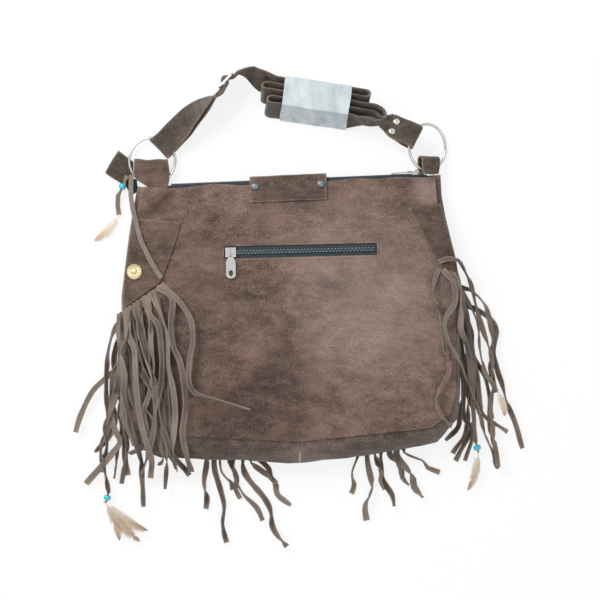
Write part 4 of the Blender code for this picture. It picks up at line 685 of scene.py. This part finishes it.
def make_zips(sizes):
    make_tapes()
    make_chain("pocket_zip_chain", "pocket_zip", sizes.tooth_pitch)
    make_chain("top_zip_chain", "top_zip", sizes.tooth_pitch)
    for name in ("pocket_zip_slider", "pocket_zip_pull", "top_zip_slider", "top_zip_pull"):
        dress(name, "steel")


def dress(source, look):
    """Give a CAD node that stays its detailed material."""
    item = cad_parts[source]
    item.data.materials.clear()
    item.data.materials.append(LOOKS[look])


# Metal pieces

def make_ring(name, source, place, axis, body, ring_wire):
    """A round wire ring: a small circle spun about the ring's own axis."""
    builder = bmesh.new()
    wire = bmesh.ops.create_circle(builder, segments=RING_SIDES, radius=ring_wire)["verts"]
    bmesh.ops.rotate(builder, verts=wire, cent=(0, 0, 0), matrix=Matrix.Rotation(math.pi / 2, 3, "X"))
    bmesh.ops.translate(builder, verts=wire, vec=(RING_RADIUS, 0, 0))
    bmesh.ops.spin(builder, geom=builder.verts[:] + builder.edges[:], cent=(0, 0, 0), axis=(0, 0, 1),
                   dvec=(0, 0, 0), angle=2 * math.pi, steps=RING_STEPS, use_merge=True)
    bmesh.ops.remove_doubles(builder, verts=builder.verts, dist=WELD)
    turn = axis.to_track_quat("Z", "Y").to_matrix().to_4x4()
    bmesh.ops.transform(builder, matrix=Matrix.Translation(place) @ turn, verts=builder.verts)
    add_piece(name, builder, "steel", body, (source,))


def make_rings(sizes):
    make_ring("ring_left_wire", "ring_left", *RING_LEFT, "left_ring", sizes.ring_wire)
    make_ring("ring_right_wire", "ring_right", *RING_RIGHT, "right_ring", sizes.ring_wire)
    for name in ("rivet_lower", "rivet_upper", "strap_slide"):
        dress(name, "steel")
    for name in ("tab_stud_left", "tab_stud_right"):
        dress(name, "dark_steel")
    dress("concho", "gold")


def make_beads():
    for name in ("bead_left_lower", "bead_left_upper", "bead_right"):
        builder = bmesh.new()
        builder.from_mesh(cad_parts[name].data)
        bmesh.ops.remove_doubles(builder, verts=builder.verts, dist=WELD)
        made = add_piece(name + "_glazed", builder, "bead", "bag", (name,), sharp=180.0)
        rounded = made.modifiers.new("rounded", "SUBSURF")
        rounded.levels = 2
        rounded.render_levels = 2


# Fringes

def smooth_route(points):
    """A smooth plan line through the given places, at even steps of about STRIP_STEP."""
    places = [Vector(point) for point in points]
    padded = [places[0] * 2 - places[1]] + places + [places[-1] * 2 - places[-2]]
    route = []
    for k in range(1, len(padded) - 2):
        a, b, c, d = padded[k - 1:k + 3]
        count = max(round((c - b).length / STRIP_STEP), 1)
        for m in range(count):
            t = m / count
            route.append(0.5 * (2 * b + (c - a) * t + (2 * a - 5 * b + 4 * c - d) * t * t
                                + (3 * b - a - 3 * c + d) * t ** 3))
    route.append(places[-1])
    return route


def rest_heights(route, half_width, lifts, lowest):
    """Heights along a route: on what lies below, never steeper than the suede can bend."""
    raw = []
    for k, spot in enumerate(route):
        ahead = (route[min(k + 1, len(route) - 1)] - route[max(k - 1, 0)]).normalized()
        square = Vector((-ahead.y, ahead.x)) * half_width
        raw.append(max(ground(*(spot + square * share)) for share in (-1, 0, 1)))
    travelled = [0.0]
    for one, two in zip(route, route[1:]):
        travelled.append(travelled[-1] + (two - one).length)
    heights = []
    for k in range(len(route)):
        reach = max(raw[m] - STRIP_STEEPEST * abs(travelled[k] - travelled[m]) for m in range(len(route)))
        heights.append(max(reach + lifts[k], lowest))
    return heights


def ribbon(builder, tone_layer, route, heights, widths, rolls, tone):
    """A strip's middle sheet: a grid laid along its route and rolled about its own line."""
    last = len(route) - 1
    points = [Vector((spot.x, spot.y, height)) for spot, height in zip(route, heights)]
    frames = []
    for k, centre in enumerate(points):
        ahead = (points[min(k + 1, last)] - points[max(k - 1, 0)]).normalized()
        square = Vector((ahead.y, -ahead.x, 0.0)).normalized()
        upward = square.cross(ahead).normalized()
        if upward.z < 0:
            upward = -upward
        rolled = Matrix.Rotation(rolls[k], 3, ahead)
        raised = Vector((0.0, 0.0, abs(math.sin(rolls[k])) * widths[k] / 2))
        frames.append((centre + raised, rolled @ square, rolled @ upward))
    made = bmesh.ops.create_grid(builder, x_segments=2, y_segments=last, size=1.0)["verts"]
    for vert in made:
        column = vert.co.x
        k = round((vert.co.y + 1) / 2 * last)
        centre, across, out = frames[k]
        cup = STRIP_CUP * widths[k] * (column * column - 0.5)
        vert.co = centre + across * column * widths[k] / 2 + out * cup
        turned = UNDERSIDE_DARKER * (1 - math.cos(rolls[k]))
        patch = TONE_WANDER * drift(vert.co.x * 30, vert.co.y * 24, tone * 50)
        vert[tone_layer] = min(max(tone + patch - turned, 0.0), 1.0)


def make_fringe(name, strips, nodes, seed, thickness, beads=(), low_from=None, edge_on=None):
    """A fringe of separate strips, each (tone, width, twist, layer, places in mm), and the strips
    that end in a bead as (index, bead's CAD node, its direction). Strips from index low_from on lie
    low and come from under the bag, and edge_on is (index, share) of a strip that stands on its edge
    from that share on."""
    builder = bmesh.new()
    tone_layer = builder.verts.layers.float.new("tone")
    beaded = {index: (source, Vector(way)) for index, source, way in beads}
    for k, (tone, width, twist, layer, places) in enumerate(strips):
        route = smooth_route([(x / 1000, y / 1000) for x, y in places])
        size = len(route)
        travelled, lifts, widths, rolls = 0.0, [], [], []
        for m, spot in enumerate(route):
            travelled += (spot - route[m - 1]).length if m else 0.0
            t = m / (size - 1)
            stacked = STRIP_LAYER * layer * smoothstep(0.0, LAYER_RAMP, travelled)
            lifts.append(thickness / 2 + STRIP_CLEAR + stacked)
            wander = drift(seed * 2.1 + k * 5.3, travelled * 17.0, 7.0)
            quick = drift(seed + k * 3.1, travelled * 45.0, 3.0)
            roll = twist * (ROLL_SLOW * wander + ROLL_QUICK * quick) * smoothstep(0.0, 0.12, t)
            if edge_on and edge_on[0] == k:
                roll += EDGE_ROLL * smoothstep(edge_on[1] - 0.06, edge_on[1], t)
            rolls.append(roll)
            uneven = WIDTH_WANDER * drift(k * 2.0, travelled * 60.0, seed)
            widths.append(width / 1000 * (1.0 + uneven))
        if low_from is not None and k >= low_from:
            heights = [lift + STRIP_CLEAR for lift in lifts]
        else:
            heights = rest_heights(route, STRIP_WIDTH / 2, lifts, thickness / 2 + FLOOR_CLEAR)
        if k in beaded:
            source, way = beaded[k]
            bead = sum(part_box(source), Vector()) / 2
            middle = bead.to_2d()
            thread = [middle + way * place for place in BEAD_PLACES]
            near = [m for m in range(size) if (route[m] - thread[0]).length > BEAD_KEEP_OFF]
            route = [route[m] for m in near] + thread
            keep = [smoothstep(0.0, 0.020, (spot - middle).length - 0.006) for spot in route]
            base = [heights[m] for m in near] + [bead.z] * len(thread)
            heights = [bead.z + (level - bead.z) * share for level, share in zip(base, keep)]
            widths = [widths[m] for m in near] + BEAD_WIDTHS
            rolls = [rolls[m] * share for m, share in zip(near, keep)] + [0.0] * len(thread)
        ribbon(builder, tone_layer, route, heights, widths, rolls, tone)
    bmesh.ops.recalc_face_normals(builder, faces=builder.faces)
    bmesh.ops.solidify(builder, geom=builder.faces[:], thickness=thickness)
    add_piece(name, builder, "strip", "bag", nodes, sharp=50.0)


# Each strip: tone from dark to light, partly the strip's own and partly painted shade that is lower on strips
# in the lower layers, width in mm, twist, layer, and its places in mm
LEFT_OVER = (
    (0.38, 6.6, 0.12, 5, ((-163, 19), (-150, 7), (-137, -7), (-127, -25), (-125, -47), (-128, -66),
        (-130, -91), (-124, -107), (-101, -114), (-58, -127))),
    (0.5, 6.8, 0.35, 4, ((-169, 15), (-155, 8), (-149, -3), (-151, -28), (-148, -53), (-140, -72),
        (-135, -99), (-134, -130), (-137, -159), (-129, -204))),
    (0.66, 7.2, 0.3, 3, ((-176, 10), (-169, -4), (-161, -21), (-155, -44), (-154, -75), (-148, -107),
        (-146, -138), (-150, -176), (-147, -202))),
    (0.35, 7.0, 0.45, 4, ((-183, 5), (-177, -15), (-166, -31), (-162, -59), (-162, -91), (-165, -123),
        (-158, -154), (-151, -180), (-131, -208))),
    (0.4, 6.6, 0.55, 3, ((-190, 0), (-186, -31), (-181, -53), (-177, -75), (-166, -107), (-162, -126),
        (-159, -154), (-158, -186), (-160, -224))),
    (0.3, 7.2, 0.6, 2, ((-198, -6), (-197, -36), (-188, -59), (-183, -85), (-173, -107), (-166, -135),
        (-158, -170), (-147, -192))),
    (0.45, 7.0, 0.55, 4, ((-206, -12), (-203, -32), (-204, -50), (-209, -63), (-205, -88), (-207, -107),
        (-203, -131), (-197, -154), (-189, -189), (-186, -245))),
    (0.95, 7.6, 0.2, 3, ((-212, -16), (-213, -40), (-210, -56), (-213, -91), (-218, -107), (-224, -132),
        (-219, -154), (-213, -168), (-224, -184), (-254, -218))),
    (0.9, 6.8, 0.4, 2, ((-179, 6), (-176, -23), (-174, -53), (-170, -78), (-175, -107), (-183, -131),
        (-178, -160), (-178, -186))),
    (0.2, 6.2, 0.6, 1, ((-186, 2), (-190, -30), (-189, -75), (-185, -99), (-183, -123), (-170, -146),
        (-161, -183), (-166, -196))),
    (0.85, 7.2, 0.3, 5, ((-202, -9), (-201, -40), (-194, -59), (-192, -91), (-189, -123), (-183, -154),
        (-175, -186), (-177, -211))),
    (0.55, 6.6, 0.55, 5, ((-194, -3), (-189, -32), (-185, -53), (-178, -75), (-170, -100), (-169, -130),
        (-173, -162), (-188, -206))),
    (0.15, 6.6, 0.5, 1, ((-209, -14), (-208, -44), (-202, -63), (-200, -91), (-196, -115), (-186, -142),
        (-183, -170), (-203, -183))),
    (0.25, 6.4, 0.45, 1, ((-173, 12), (-165, -10), (-160, -40), (-158, -75), (-156, -110), (-154, -150),
        (-156, -184))),
)
LEFT_UNDER = (
    (0.12, 6.4, 0.45, 2, ((-210, -24), (-218, -31), (-226, -58), (-230, -89), (-230, -116), (-227, -135),
        (-228, -154), (-235, -172), (-234, -195), (-227, -227))),
    (0.9, 6.6, 0.15, 3, ((-216, -80), (-233, -95), (-245, -107), (-254, -123), (-262, -142), (-266, -157))),
    (0.3, 6.4, 0.6, 1, ((-209, -40), (-217, -52), (-221, -75), (-218, -99), (-213, -123), (-210, -146),
        (-205, -170), (-208, -194), (-212, -218))),
    (0.1, 7.0, 0.4, 0, ((-209, -70), (-208, -115), (-203, -138), (-207, -162), (-208, -186), (-204, -208))),
    (0.45, 6.4, 0.5, 1, ((-209, -60), (-222, -90), (-224, -120), (-219, -140), (-226, -162), (-244, -180))),
    (0.2, 6.0, 0.6, 2, ((-209, -88), (-217, -112), (-224, -132), (-231, -150), (-229, -175), (-237, -204))),
    (0.35, 6.4, 0.6, 0, ((-209, -92), (-214, -128), (-211, -152), (-216, -176), (-221, -212))),
)
RIGHT_OVER = (
    (0.55, 5.6, 0.75, 5, ((161, 44), (172, 48), (184, 47), (191, 40), (203, 17), (208, -5), (217, -36),
        (226, -63), (229, -92), (226, -121), (228, -151), (235, -198))),
    (0.35, 5.4, 1.1, 2, ((164, 37), (158, 23), (157, 8), (163, -10), (166, -30), (170, -56), (175, -83),
        (163, -106), (160, -121), (167, -137), (179, -149))),
    (0.5, 7.2, 0.45, 4, ((168, 36), (180, 19), (182, -2), (171, -23), (172, -41), (187, -70), (197, -92),
        (205, -113), (214, -135))),
    (0.9, 6.2, 0.7, 5, ((186, 24), (189, -14), (189, -34), (197, -52), (201, -74), (203, -96),
        (206, -118))),
    (0.3, 6.8, 0.5, 3, ((184, 30), (190, -1), (197, -20), (205, -47), (208, -74), (212, -110), (216, -151),
        (226, -177), (235, -200))),
    (0.25, 6.2, 0.6, 2, ((176, 34), (187, 10), (194, -22), (199, -60), (200, -100), (198, -150),
        (181, -182))),
    (0.65, 5.8, 0.4, 4, ((180, 32), (196, -10), (202, -47), (206, -83), (205, -119), (207, -146),
        (208, -165))),
    (0.2, 6.6, 0.5, 1, ((172, 34), (184, -20), (190, -60), (194, -101), (190, -128), (188, -151),
        (172, -166))),
    (0.75, 5.6, 0.6, 5, ((187, 20), (201, -7), (210, -30), (212, -59), (219, -85), (229, -100),
        (234, -108))),
)
RIGHT_UNDER = (
    (0.4, 5.6, 0.9, 3, ((187, 16), (199, 13), (212, 4), (221, -9), (226, -30), (229, -56), (226, -80),
        (232, -110))),
    (0.3, 6.2, 0.55, 2, ((188, -2), (210, -12), (226, -23), (233, -38), (229, -61), (234, -83), (239, -97),
        (245, -119), (255, -146), (264, -176))),
    (0.15, 6.0, 0.6, 1, ((189, -20), (200, -40), (208, -70), (219, -92), (225, -124), (226, -155),
        (235, -182))),
    (0.1, 6.8, 0.4, 0, ((189, -40), (196, -80), (199, -110), (205, -137), (201, -160), (185, -191))),
    (0.55, 5.8, 0.6, 1, ((189, -55), (205, -90), (212, -120), (222, -140), (246, -157))),
    (0.25, 6.2, 0.5, 2, ((189, -66), (194, -100), (194, -137), (206, -157), (196, -191))),
)
BASE_LEFT = (
    (-110, -112, -248, -3, 0.2), (-102, -87, -288, 5, 0.3), (-94, -79, -225, -4, 0.7),
    (-85, -71, -236, 4, 0.4), (-77, -45, -262, -6, 0.55), (-68, -15, -292, 8, 0.3),
    (-59, -11, -244, 9, 0.5), (-50, -28, -218, 4, 0.35),
)
BASE_RIGHT = (
    (70, 61, -230, -4, 0.4), (79, 79, -262, 6, 0.5), (88, 100, -225, 4, 0.25), (97, 112, -245, -5, 0.3),
    (106, 129, -220, 4, 0.6), (115, 146, -234, 5, 0.7), (123, 166, -205, 7, 0.35),
)


def base_strips(table, top):
    """Strips that hang from the bottom seam, each (start x, end x, end y, bend, tone) in mm."""
    strips = []
    for k, (start, end_x, end_y, bend, tone) in enumerate(table):
        reach = end_y - top
        places = ((start, top), (start + bend * 0.2, top + 0.22 * reach),
                  (start + (end_x - start) * 0.40 + bend, top + 0.55 * reach),
                  (start + (end_x - start) * 0.72 - bend * 0.3, top + 0.80 * reach), (end_x, end_y))
        strips.append((tone, 6.2 + 0.6 * (k % 3), 0.7, k % 3, places))
    return strips


def make_fringes(sizes):
    thick = sizes.strip_suede
    make_fringe("fringe_left_over", LEFT_OVER, ("fringe_left_upper",), 10, thick, edge_on=(0, 0.72))
    make_fringe("fringe_left_under", LEFT_UNDER, ("fringe_left_lower",), 40, thick,
                ((0, "bead_left_lower", BEAD_LEFT_WAY),), low_from=0)
    make_fringe("fringe_right_over", RIGHT_OVER, ("fringe_right_upper",), 60, thick,
                ((6, "bead_right", BEAD_RIGHT_WAY),), low_from=RIGHT_LOW_FROM)
    make_fringe("fringe_right_under", RIGHT_UNDER, ("fringe_right_lower",), 80, thick, low_from=0)
    for side, table, seed in (("left", base_strips(BASE_LEFT, LEFT_SEAM_MM), 100),
                              ("right", base_strips(BASE_RIGHT, RIGHT_SEAM_MM), 120)):
        make_fringe(f"fringe_base_{side}_strips", table, (f"fringe_base_{side}",), seed, thick, low_from=0)
    for name in ("thong_long", "thong_short"):
        made = soft_copy(name, "strip", LACE_EDGE, slack(0.0004, 60.0, 31.0))
        shade = made.data.attributes.new("tone", "FLOAT", "POINT")
        shade.data.foreach_set("value", [LACE_TONE] * len(made.data.vertices))



# Feathers

FEATHERS = (
    ("feather_left_upper", (-0.2150, 0.1003), (-0.2450, 0.0700), 0.0060, 0.003, 0.0),
    ("feather_left_long", (-0.2304, -0.2413), (-0.1790, -0.2740), 0.0065, -0.004, 0.9),
    ("feather_left_middle", (-0.2304, -0.2413), (-0.1890, -0.2870), 0.0070, -0.003, 1.0),
    ("feather_left_short", (-0.2304, -0.2413), (-0.2140, -0.2860), 0.0060, 0.003, 0.7),
    ("feather_right_long", (0.2117, -0.1810), (0.1985, -0.2270), 0.0055, 0.003, 0.8),
    ("feather_right_outer", (0.2340, -0.1082), (0.2430, -0.1380), 0.0050, 0.002, 0.2),
)


def lay_grid(builder, layers, stations, tone):
    """A grid laid through stations, each the points from side to side and the share of the way along."""
    rows = len(stations) - 1
    across = len(stations[0][0]) - 1
    for vert in bmesh.ops.create_grid(builder, x_segments=rows, y_segments=across, size=1.0)["verts"]:
        row = round((vert.co.x + 1.0) / 2 * rows)
        column = round((vert.co.y + 1.0) / 2 * across)
        points, share = stations[row]
        vert.co = points[column]
        vert[layers[0]] = share
        vert[layers[1]] = tone


def make_feather(source, root, tip, half_width, bow, tone, seed):
    """A feather of separate barbs on a tapering quill, laid where its CAD leaf lies."""
    low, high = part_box(source)
    level = (low.z + high.z) / 2
    root, tip = Vector(root), Vector(tip)
    along = tip - root
    square = Vector((-along.y, along.x)).normalized()
    builder = bmesh.new()
    for key in ("along", "tone"):
        builder.verts.layers.float.new(key)
    layers = [builder.verts.layers.float[key] for key in ("along", "tone")]

    def rib(t):
        spot = root + along * t + square * bow * math.sin(math.pi * t)
        return Vector((spot.x, spot.y, level + 0.0003))

    forward = along.normalized()
    count = int(along.length / BARB_PITCH)
    for k in range(count):
        t = 0.10 + 0.88 * k / count
        base = rib(t)
        spread = half_width * math.sin(math.pi * min(t * 1.02, 1.0) ** 0.75) ** 0.7
        for side in (-1, 1):
            jitter = drift(k * 0.9, side * 3.0, seed)
            gap = 0.6 if drift(t * 7.0, side * 5.0, seed + 2.0) > 0.33 else 1.0
            reach = spread * (1.0 + 0.22 * jitter) * gap
            lean = 0.9 + 0.5 * t + 0.25 * jitter
            end = base.to_2d() + square * side * reach + forward * reach * lean
            bend = base.to_2d() + square * side * reach * 0.55 + forward * reach * lean * 0.35
            lift = 0.0004 * drift(k * 0.35, side, seed)
            near = Vector((*(forward * BARB_WIDTH), 0.0))
            middle = Vector((bend.x, bend.y, level + 0.0002 + lift))
            far = Vector((end.x, end.y, level - 0.0002 + lift))
            lay_grid(builder, layers, (((base, base + near), t), ((middle, middle + near), t + 0.05),
                                       ((far, far + near * 0.3), t + 0.12)), tone)
    edge = Vector((*square, 0.0))
    top = Vector((0, 0, QUILL_HEIGHT))
    quill = []
    for k in range(QUILL_STEPS + 1):
        spot = rib(0.98 * k / QUILL_STEPS - 0.06)
        wide = edge * QUILL_HALF_WIDTH * (1 - k / (QUILL_STEPS + 2))
        quill.append(((spot - wide, spot + top, spot + wide), 0.006 * k))
    lay_grid(builder, layers, quill, tone)
    add_piece(source + "_plume", builder, "plume", "bag", (source,), smooth=False)


def make_feathers():
    for k, (source, root, tip, half_width, bow, tone) in enumerate(FEATHERS):
        make_feather(source, root, tip, half_width, bow, tone, 11.0 * k)


# Stitches

def stitch_row(name, corners, length, closed=False):
    """Separate stitches along a line in plan, each sunk a little into the face below it."""
    points = [Vector(corner) for corner in corners]
    if closed:
        points.append(points[0])
    builder = bmesh.new()
    for one, two in zip(points, points[1:]):
        way = (two - one).normalized()
        count = max(int((two - one).length / (length + STITCH_GAP)), 1)
        pitch = (two - one).length / count
        for k in range(count):
            spot = one + way * pitch * (k + 0.5)
            ends = [spot + way * length * share for share in (-0.5, 0.5)]
            low, high = (Vector((end.x, end.y, ground(end.x, end.y) + STITCH_LIFT)) for end in ends)
            run = (high - low).normalized()
            square = Vector((-run.y, run.x, 0.0)).normalized()
            add_stitch_or_glint_dash(builder, (low + high) / 2, (run, square, run.cross(square)), length / 2, STITCH_RADIUS)
    add_piece(name, builder, "thread", "bag", sharp=80.0)


def zip_corner(x, y):
    turn = Matrix.Rotation(ZIP_TURN, 2)
    return ZIP_CENTRE + turn @ Vector((x, y))


def make_stitches(sizes):
    half, high = POCKET_SEAM_HALF
    length = sizes.stitch_length
    corners = [zip_corner(x, y) for x, y in ((-half, -high), (half, -high), (half, high), (-half, high))]
    stitch_row("pocket_stitches", corners, length, closed=True)
    for name, corners in STITCH_ROWS:
        stitch_row(name, corners, length)


# Stage

def seen_directly(tree, share):
    """A factor of share for what the camera sees, straight or through metal and glass, and 0 for the rest."""
    camera, glossy, through = [node(tree, "ShaderNodeLightPath", out=f"Is {ray} Ray")
                               for ray in ("Camera", "Glossy", "Transmission")]
    direct = node(tree, MATH, {0: camera, 1: glossy}, operation="MAXIMUM")
    every = node(tree, MATH, {0: direct, 1: through}, operation="MAXIMUM")
    return node(tree, MATH, {0: every, 1: share}, operation="MULTIPLY")


def make_stage():
    scene = bpy.context.scene
    floor_builder = bmesh.new()
    bmesh.ops.create_grid(floor_builder, x_segments=1, y_segments=1, size=FLOOR_HALF)
    mesh = bpy.data.meshes.new("floor")
    floor_builder.to_mesh(mesh)
    floor_builder.free()
    floor = bpy.data.objects.new("floor", mesh)
    floor.location.z = -FLOOR_DROP
    scene.collection.objects.link(floor)
    made, tree, place = start_material("floor_white")
    seen = seen_directly(tree, FLOOR_GLOW)
    plain = node(tree, "ShaderNodeBsdfDiffuse", {"Color": linear("#ffffff")})
    bright = node(tree, "ShaderNodeEmission", {"Color": linear("#ffffff"), "Strength": 1.0})
    both = node(tree, "ShaderNodeMixShader", {0: seen, 1: plain, 2: bright})
    node(tree, "ShaderNodeOutputMaterial", {"Surface": both})
    mesh.materials.append(made)

    world = bpy.data.worlds.new("room")
    scene.world = world
    world.use_nodes = True
    sky = world.node_tree
    sky.nodes.clear()
    dim = node(sky, "ShaderNodeBackground", {"Color": linear("#ffffff"), "Strength": ROOM_LIGHT})
    white = node(sky, "ShaderNodeBackground", {"Color": linear("#ffffff"), "Strength": 1.0})
    room = node(sky, "ShaderNodeMixShader", {0: seen_directly(sky, 1.0), 1: dim, 2: white})
    node(sky, "ShaderNodeOutputWorld", {"Surface": room})
    for name, place, size, power in LAMPS:
        data = bpy.data.lights.new(name, "AREA")
        data.size = size
        data.energy = power
        lamp = bpy.data.objects.new(name, data)
        lamp.location = place
        lamp.rotation_euler = (-Vector(place)).to_track_quat("-Z", "Y").to_euler()
        scene.collection.objects.link(lamp)

    data = bpy.data.cameras.new("camera")
    data.sensor_width = SENSOR
    data.lens = SENSOR * CAMERA_HEIGHT / PICTURE_WIDTH
    camera = bpy.data.objects.new("camera", data)
    camera.location = (0.0, 0.0, CAMERA_HEIGHT + CAMERA_LIFT)
    scene.collection.objects.link(camera)
    scene.camera = camera
    scene.view_settings.view_transform = "Standard"


class BagSizes(bpy.types.PropertyGroup):
    """Sizes of the trimmings that may be changed; the bag's own sizes come from its frame."""
    strip_suede: bpy.props.FloatProperty(
        name="Strip thickness", description="Thickness of the suede that the fringes are cut from",
        default=0.0012, min=0.0006, max=0.0020, unit="LENGTH")
    stitch_length: bpy.props.FloatProperty(
        name="Stitch length", description="Length of one stitch along the seams",
        default=0.0026, min=0.0015, max=0.0050, unit="LENGTH")
    ring_wire: bpy.props.FloatProperty(
        name="Ring wire", description="Radius of the wire of the two strap rings",
        default=0.00175, min=0.0010, max=0.0020, unit="LENGTH")
    tooth_pitch: bpy.props.FloatProperty(
        name="Zip pitch", description="Distance from one zip tooth to the next on the same side",
        default=0.0026, min=0.0015, max=0.0050, unit="LENGTH")


def colour_property(name, description, code):
    return bpy.props.FloatVectorProperty(name=name, description=description, default=linear(code)[:3],
                                         min=0.0, max=1.0, size=3, subtype="COLOR")


class BagColours(bpy.types.PropertyGroup):
    """Colours of the bag's finishes."""
    panel: colour_property("Faces", "Middle tone of the suede of the two faces", "#6f5b51")
    gusset: colour_property("Side band", "Middle tone of the suede of the side band", "#60524a")
    facing: colour_property("Facings", "Middle tone of the darker suede of facings, tab and loops", "#5c4c43")
    strap: colour_property("Strap", "Middle tone of the suede of the strap", "#4c4339")
    strip: colour_property("Strips", "Middle tone of the suede of fringes and laces", "#675c52")
    tape: colour_property("Zip tape", "Colour of the high threads of the zip tapes", "#39454a")
    steel: colour_property("Steel", "Colour of the bright plated steel", "#d7d8d6")
    gold: colour_property("Ornament", "Colour of the gold of the round ornament", "#d9cba8")
    bead: colour_property("Beads", "Colour of the bead glaze", "#18bfd6")


class BAG_OT_looks(bpy.types.Operator):
    """Make the materials of the suede, cloth, metal, glaze, feather and thread"""
    bl_idname = "bag.looks"
    bl_label = "Materials"

    def execute(self, context):
        make_looks(context.scene.bag_colours)
        return {"FINISHED"}


class BAG_OT_panels(bpy.types.Operator):
    """Build the faces, the side band, the facings, the closure tab and the pocket's lining"""
    bl_idname = "bag.panels"
    bl_label = "Faces and facings"

    def execute(self, context):
        make_panels()
        return {"FINISHED"}


class BAG_OT_loops(bpy.types.Operator):
    """Build the gathered loops that hold the rings"""
    bl_idname = "bag.loops"
    bl_label = "Ring loops"

    def execute(self, context):
        make_loops()
        return {"FINISHED"}


class BAG_OT_strap(bpy.types.Operator):
    """Build the strap with its folded spare length and the sleeve round it"""
    bl_idname = "bag.strap"
    bl_label = "Strap and sleeve"

    def execute(self, context):
        make_strap()
        return {"FINISHED"}


class BAG_OT_zips(bpy.types.Operator):
    """Build the tapes and teeth of both zips, and finish their sliders and pulls"""
    bl_idname = "bag.zips"
    bl_label = "Zips"

    def execute(self, context):
        make_zips(context.scene.bag_sizes)
        return {"FINISHED"}


class BAG_OT_rings(bpy.types.Operator):
    """Build the two rings, and finish the studs, rivets, strap slide and ornament"""
    bl_idname = "bag.rings"
    bl_label = "Rings and studs"

    def execute(self, context):
        make_rings(context.scene.bag_sizes)
        return {"FINISHED"}


class BAG_OT_beads(bpy.types.Operator):
    """Build the three glazed beads"""
    bl_idname = "bag.beads"
    bl_label = "Beads"

    def execute(self, context):
        make_beads()
        return {"FINISHED"}


class BAG_OT_fringes(bpy.types.Operator):
    """Build the fringes and the laces of suede strips"""
    bl_idname = "bag.fringes"
    bl_label = "Fringes and laces"

    def execute(self, context):
        make_fringes(context.scene.bag_sizes)
        return {"FINISHED"}


class BAG_OT_feathers(bpy.types.Operator):
    """Build the feathers that hang below the beads and strips"""
    bl_idname = "bag.feathers"
    bl_label = "Feathers"

    def execute(self, context):
        make_feathers()
        return {"FINISHED"}


class BAG_OT_stitches(bpy.types.Operator):
    """Build the rows of stitches along the seams"""
    bl_idname = "bag.stitches"
    bl_label = "Stitches"

    def execute(self, context):
        make_stitches(context.scene.bag_sizes)
        return {"FINISHED"}


class BAG_OT_stage(bpy.types.Operator):
    """Set up the floor, the soft light and the camera"""
    bl_idname = "bag.stage"
    bl_label = "Stage"

    def execute(self, context):
        make_stage()
        return {"FINISHED"}


OPERATORS = (BAG_OT_looks, BAG_OT_panels, BAG_OT_loops, BAG_OT_strap, BAG_OT_zips, BAG_OT_rings, BAG_OT_beads,
             BAG_OT_fringes, BAG_OT_feathers, BAG_OT_stitches, BAG_OT_stage)


class BAG_PT_panel(bpy.types.Panel):
    """Sizes, colours and a button for each group of pieces"""
    bl_idname = "BAG_PT_panel"
    bl_label = "Fringed bag"
    bl_space_type = "VIEW_3D"
    bl_region_type = "UI"
    bl_category = "Bag"

    def draw(self, context):
        for settings in (context.scene.bag_sizes, context.scene.bag_colours):
            for key in settings.__annotations__:
                self.layout.prop(settings, key)
        for kind in OPERATORS:
            self.layout.operator(kind.bl_idname)


CLASSES = (BagSizes, BagColours) + OPERATORS + (BAG_PT_panel,)


def register():
    for kind in CLASSES:
        bpy.utils.register_class(kind)
    bpy.types.Scene.bag_sizes = bpy.props.PointerProperty(type=BagSizes)
    bpy.types.Scene.bag_colours = bpy.props.PointerProperty(type=BagColours)


def unregister():
    del bpy.types.Scene.bag_colours
    del bpy.types.Scene.bag_sizes
    for kind in reversed(CLASSES):
        bpy.utils.unregister_class(kind)


def main():
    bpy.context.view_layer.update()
    register()
    bpy.ops.bag.looks()
    bpy.ops.bag.panels()
    bpy.ops.bag.loops()
    bpy.ops.bag.strap()
    bpy.ops.bag.zips()
    bpy.ops.bag.rings()
    bpy.ops.bag.beads()
    bpy.ops.bag.fringes()
    bpy.ops.bag.feathers()
    bpy.ops.bag.stitches()
    bpy.ops.bag.stage()


if __name__ == "__main__":
    main()
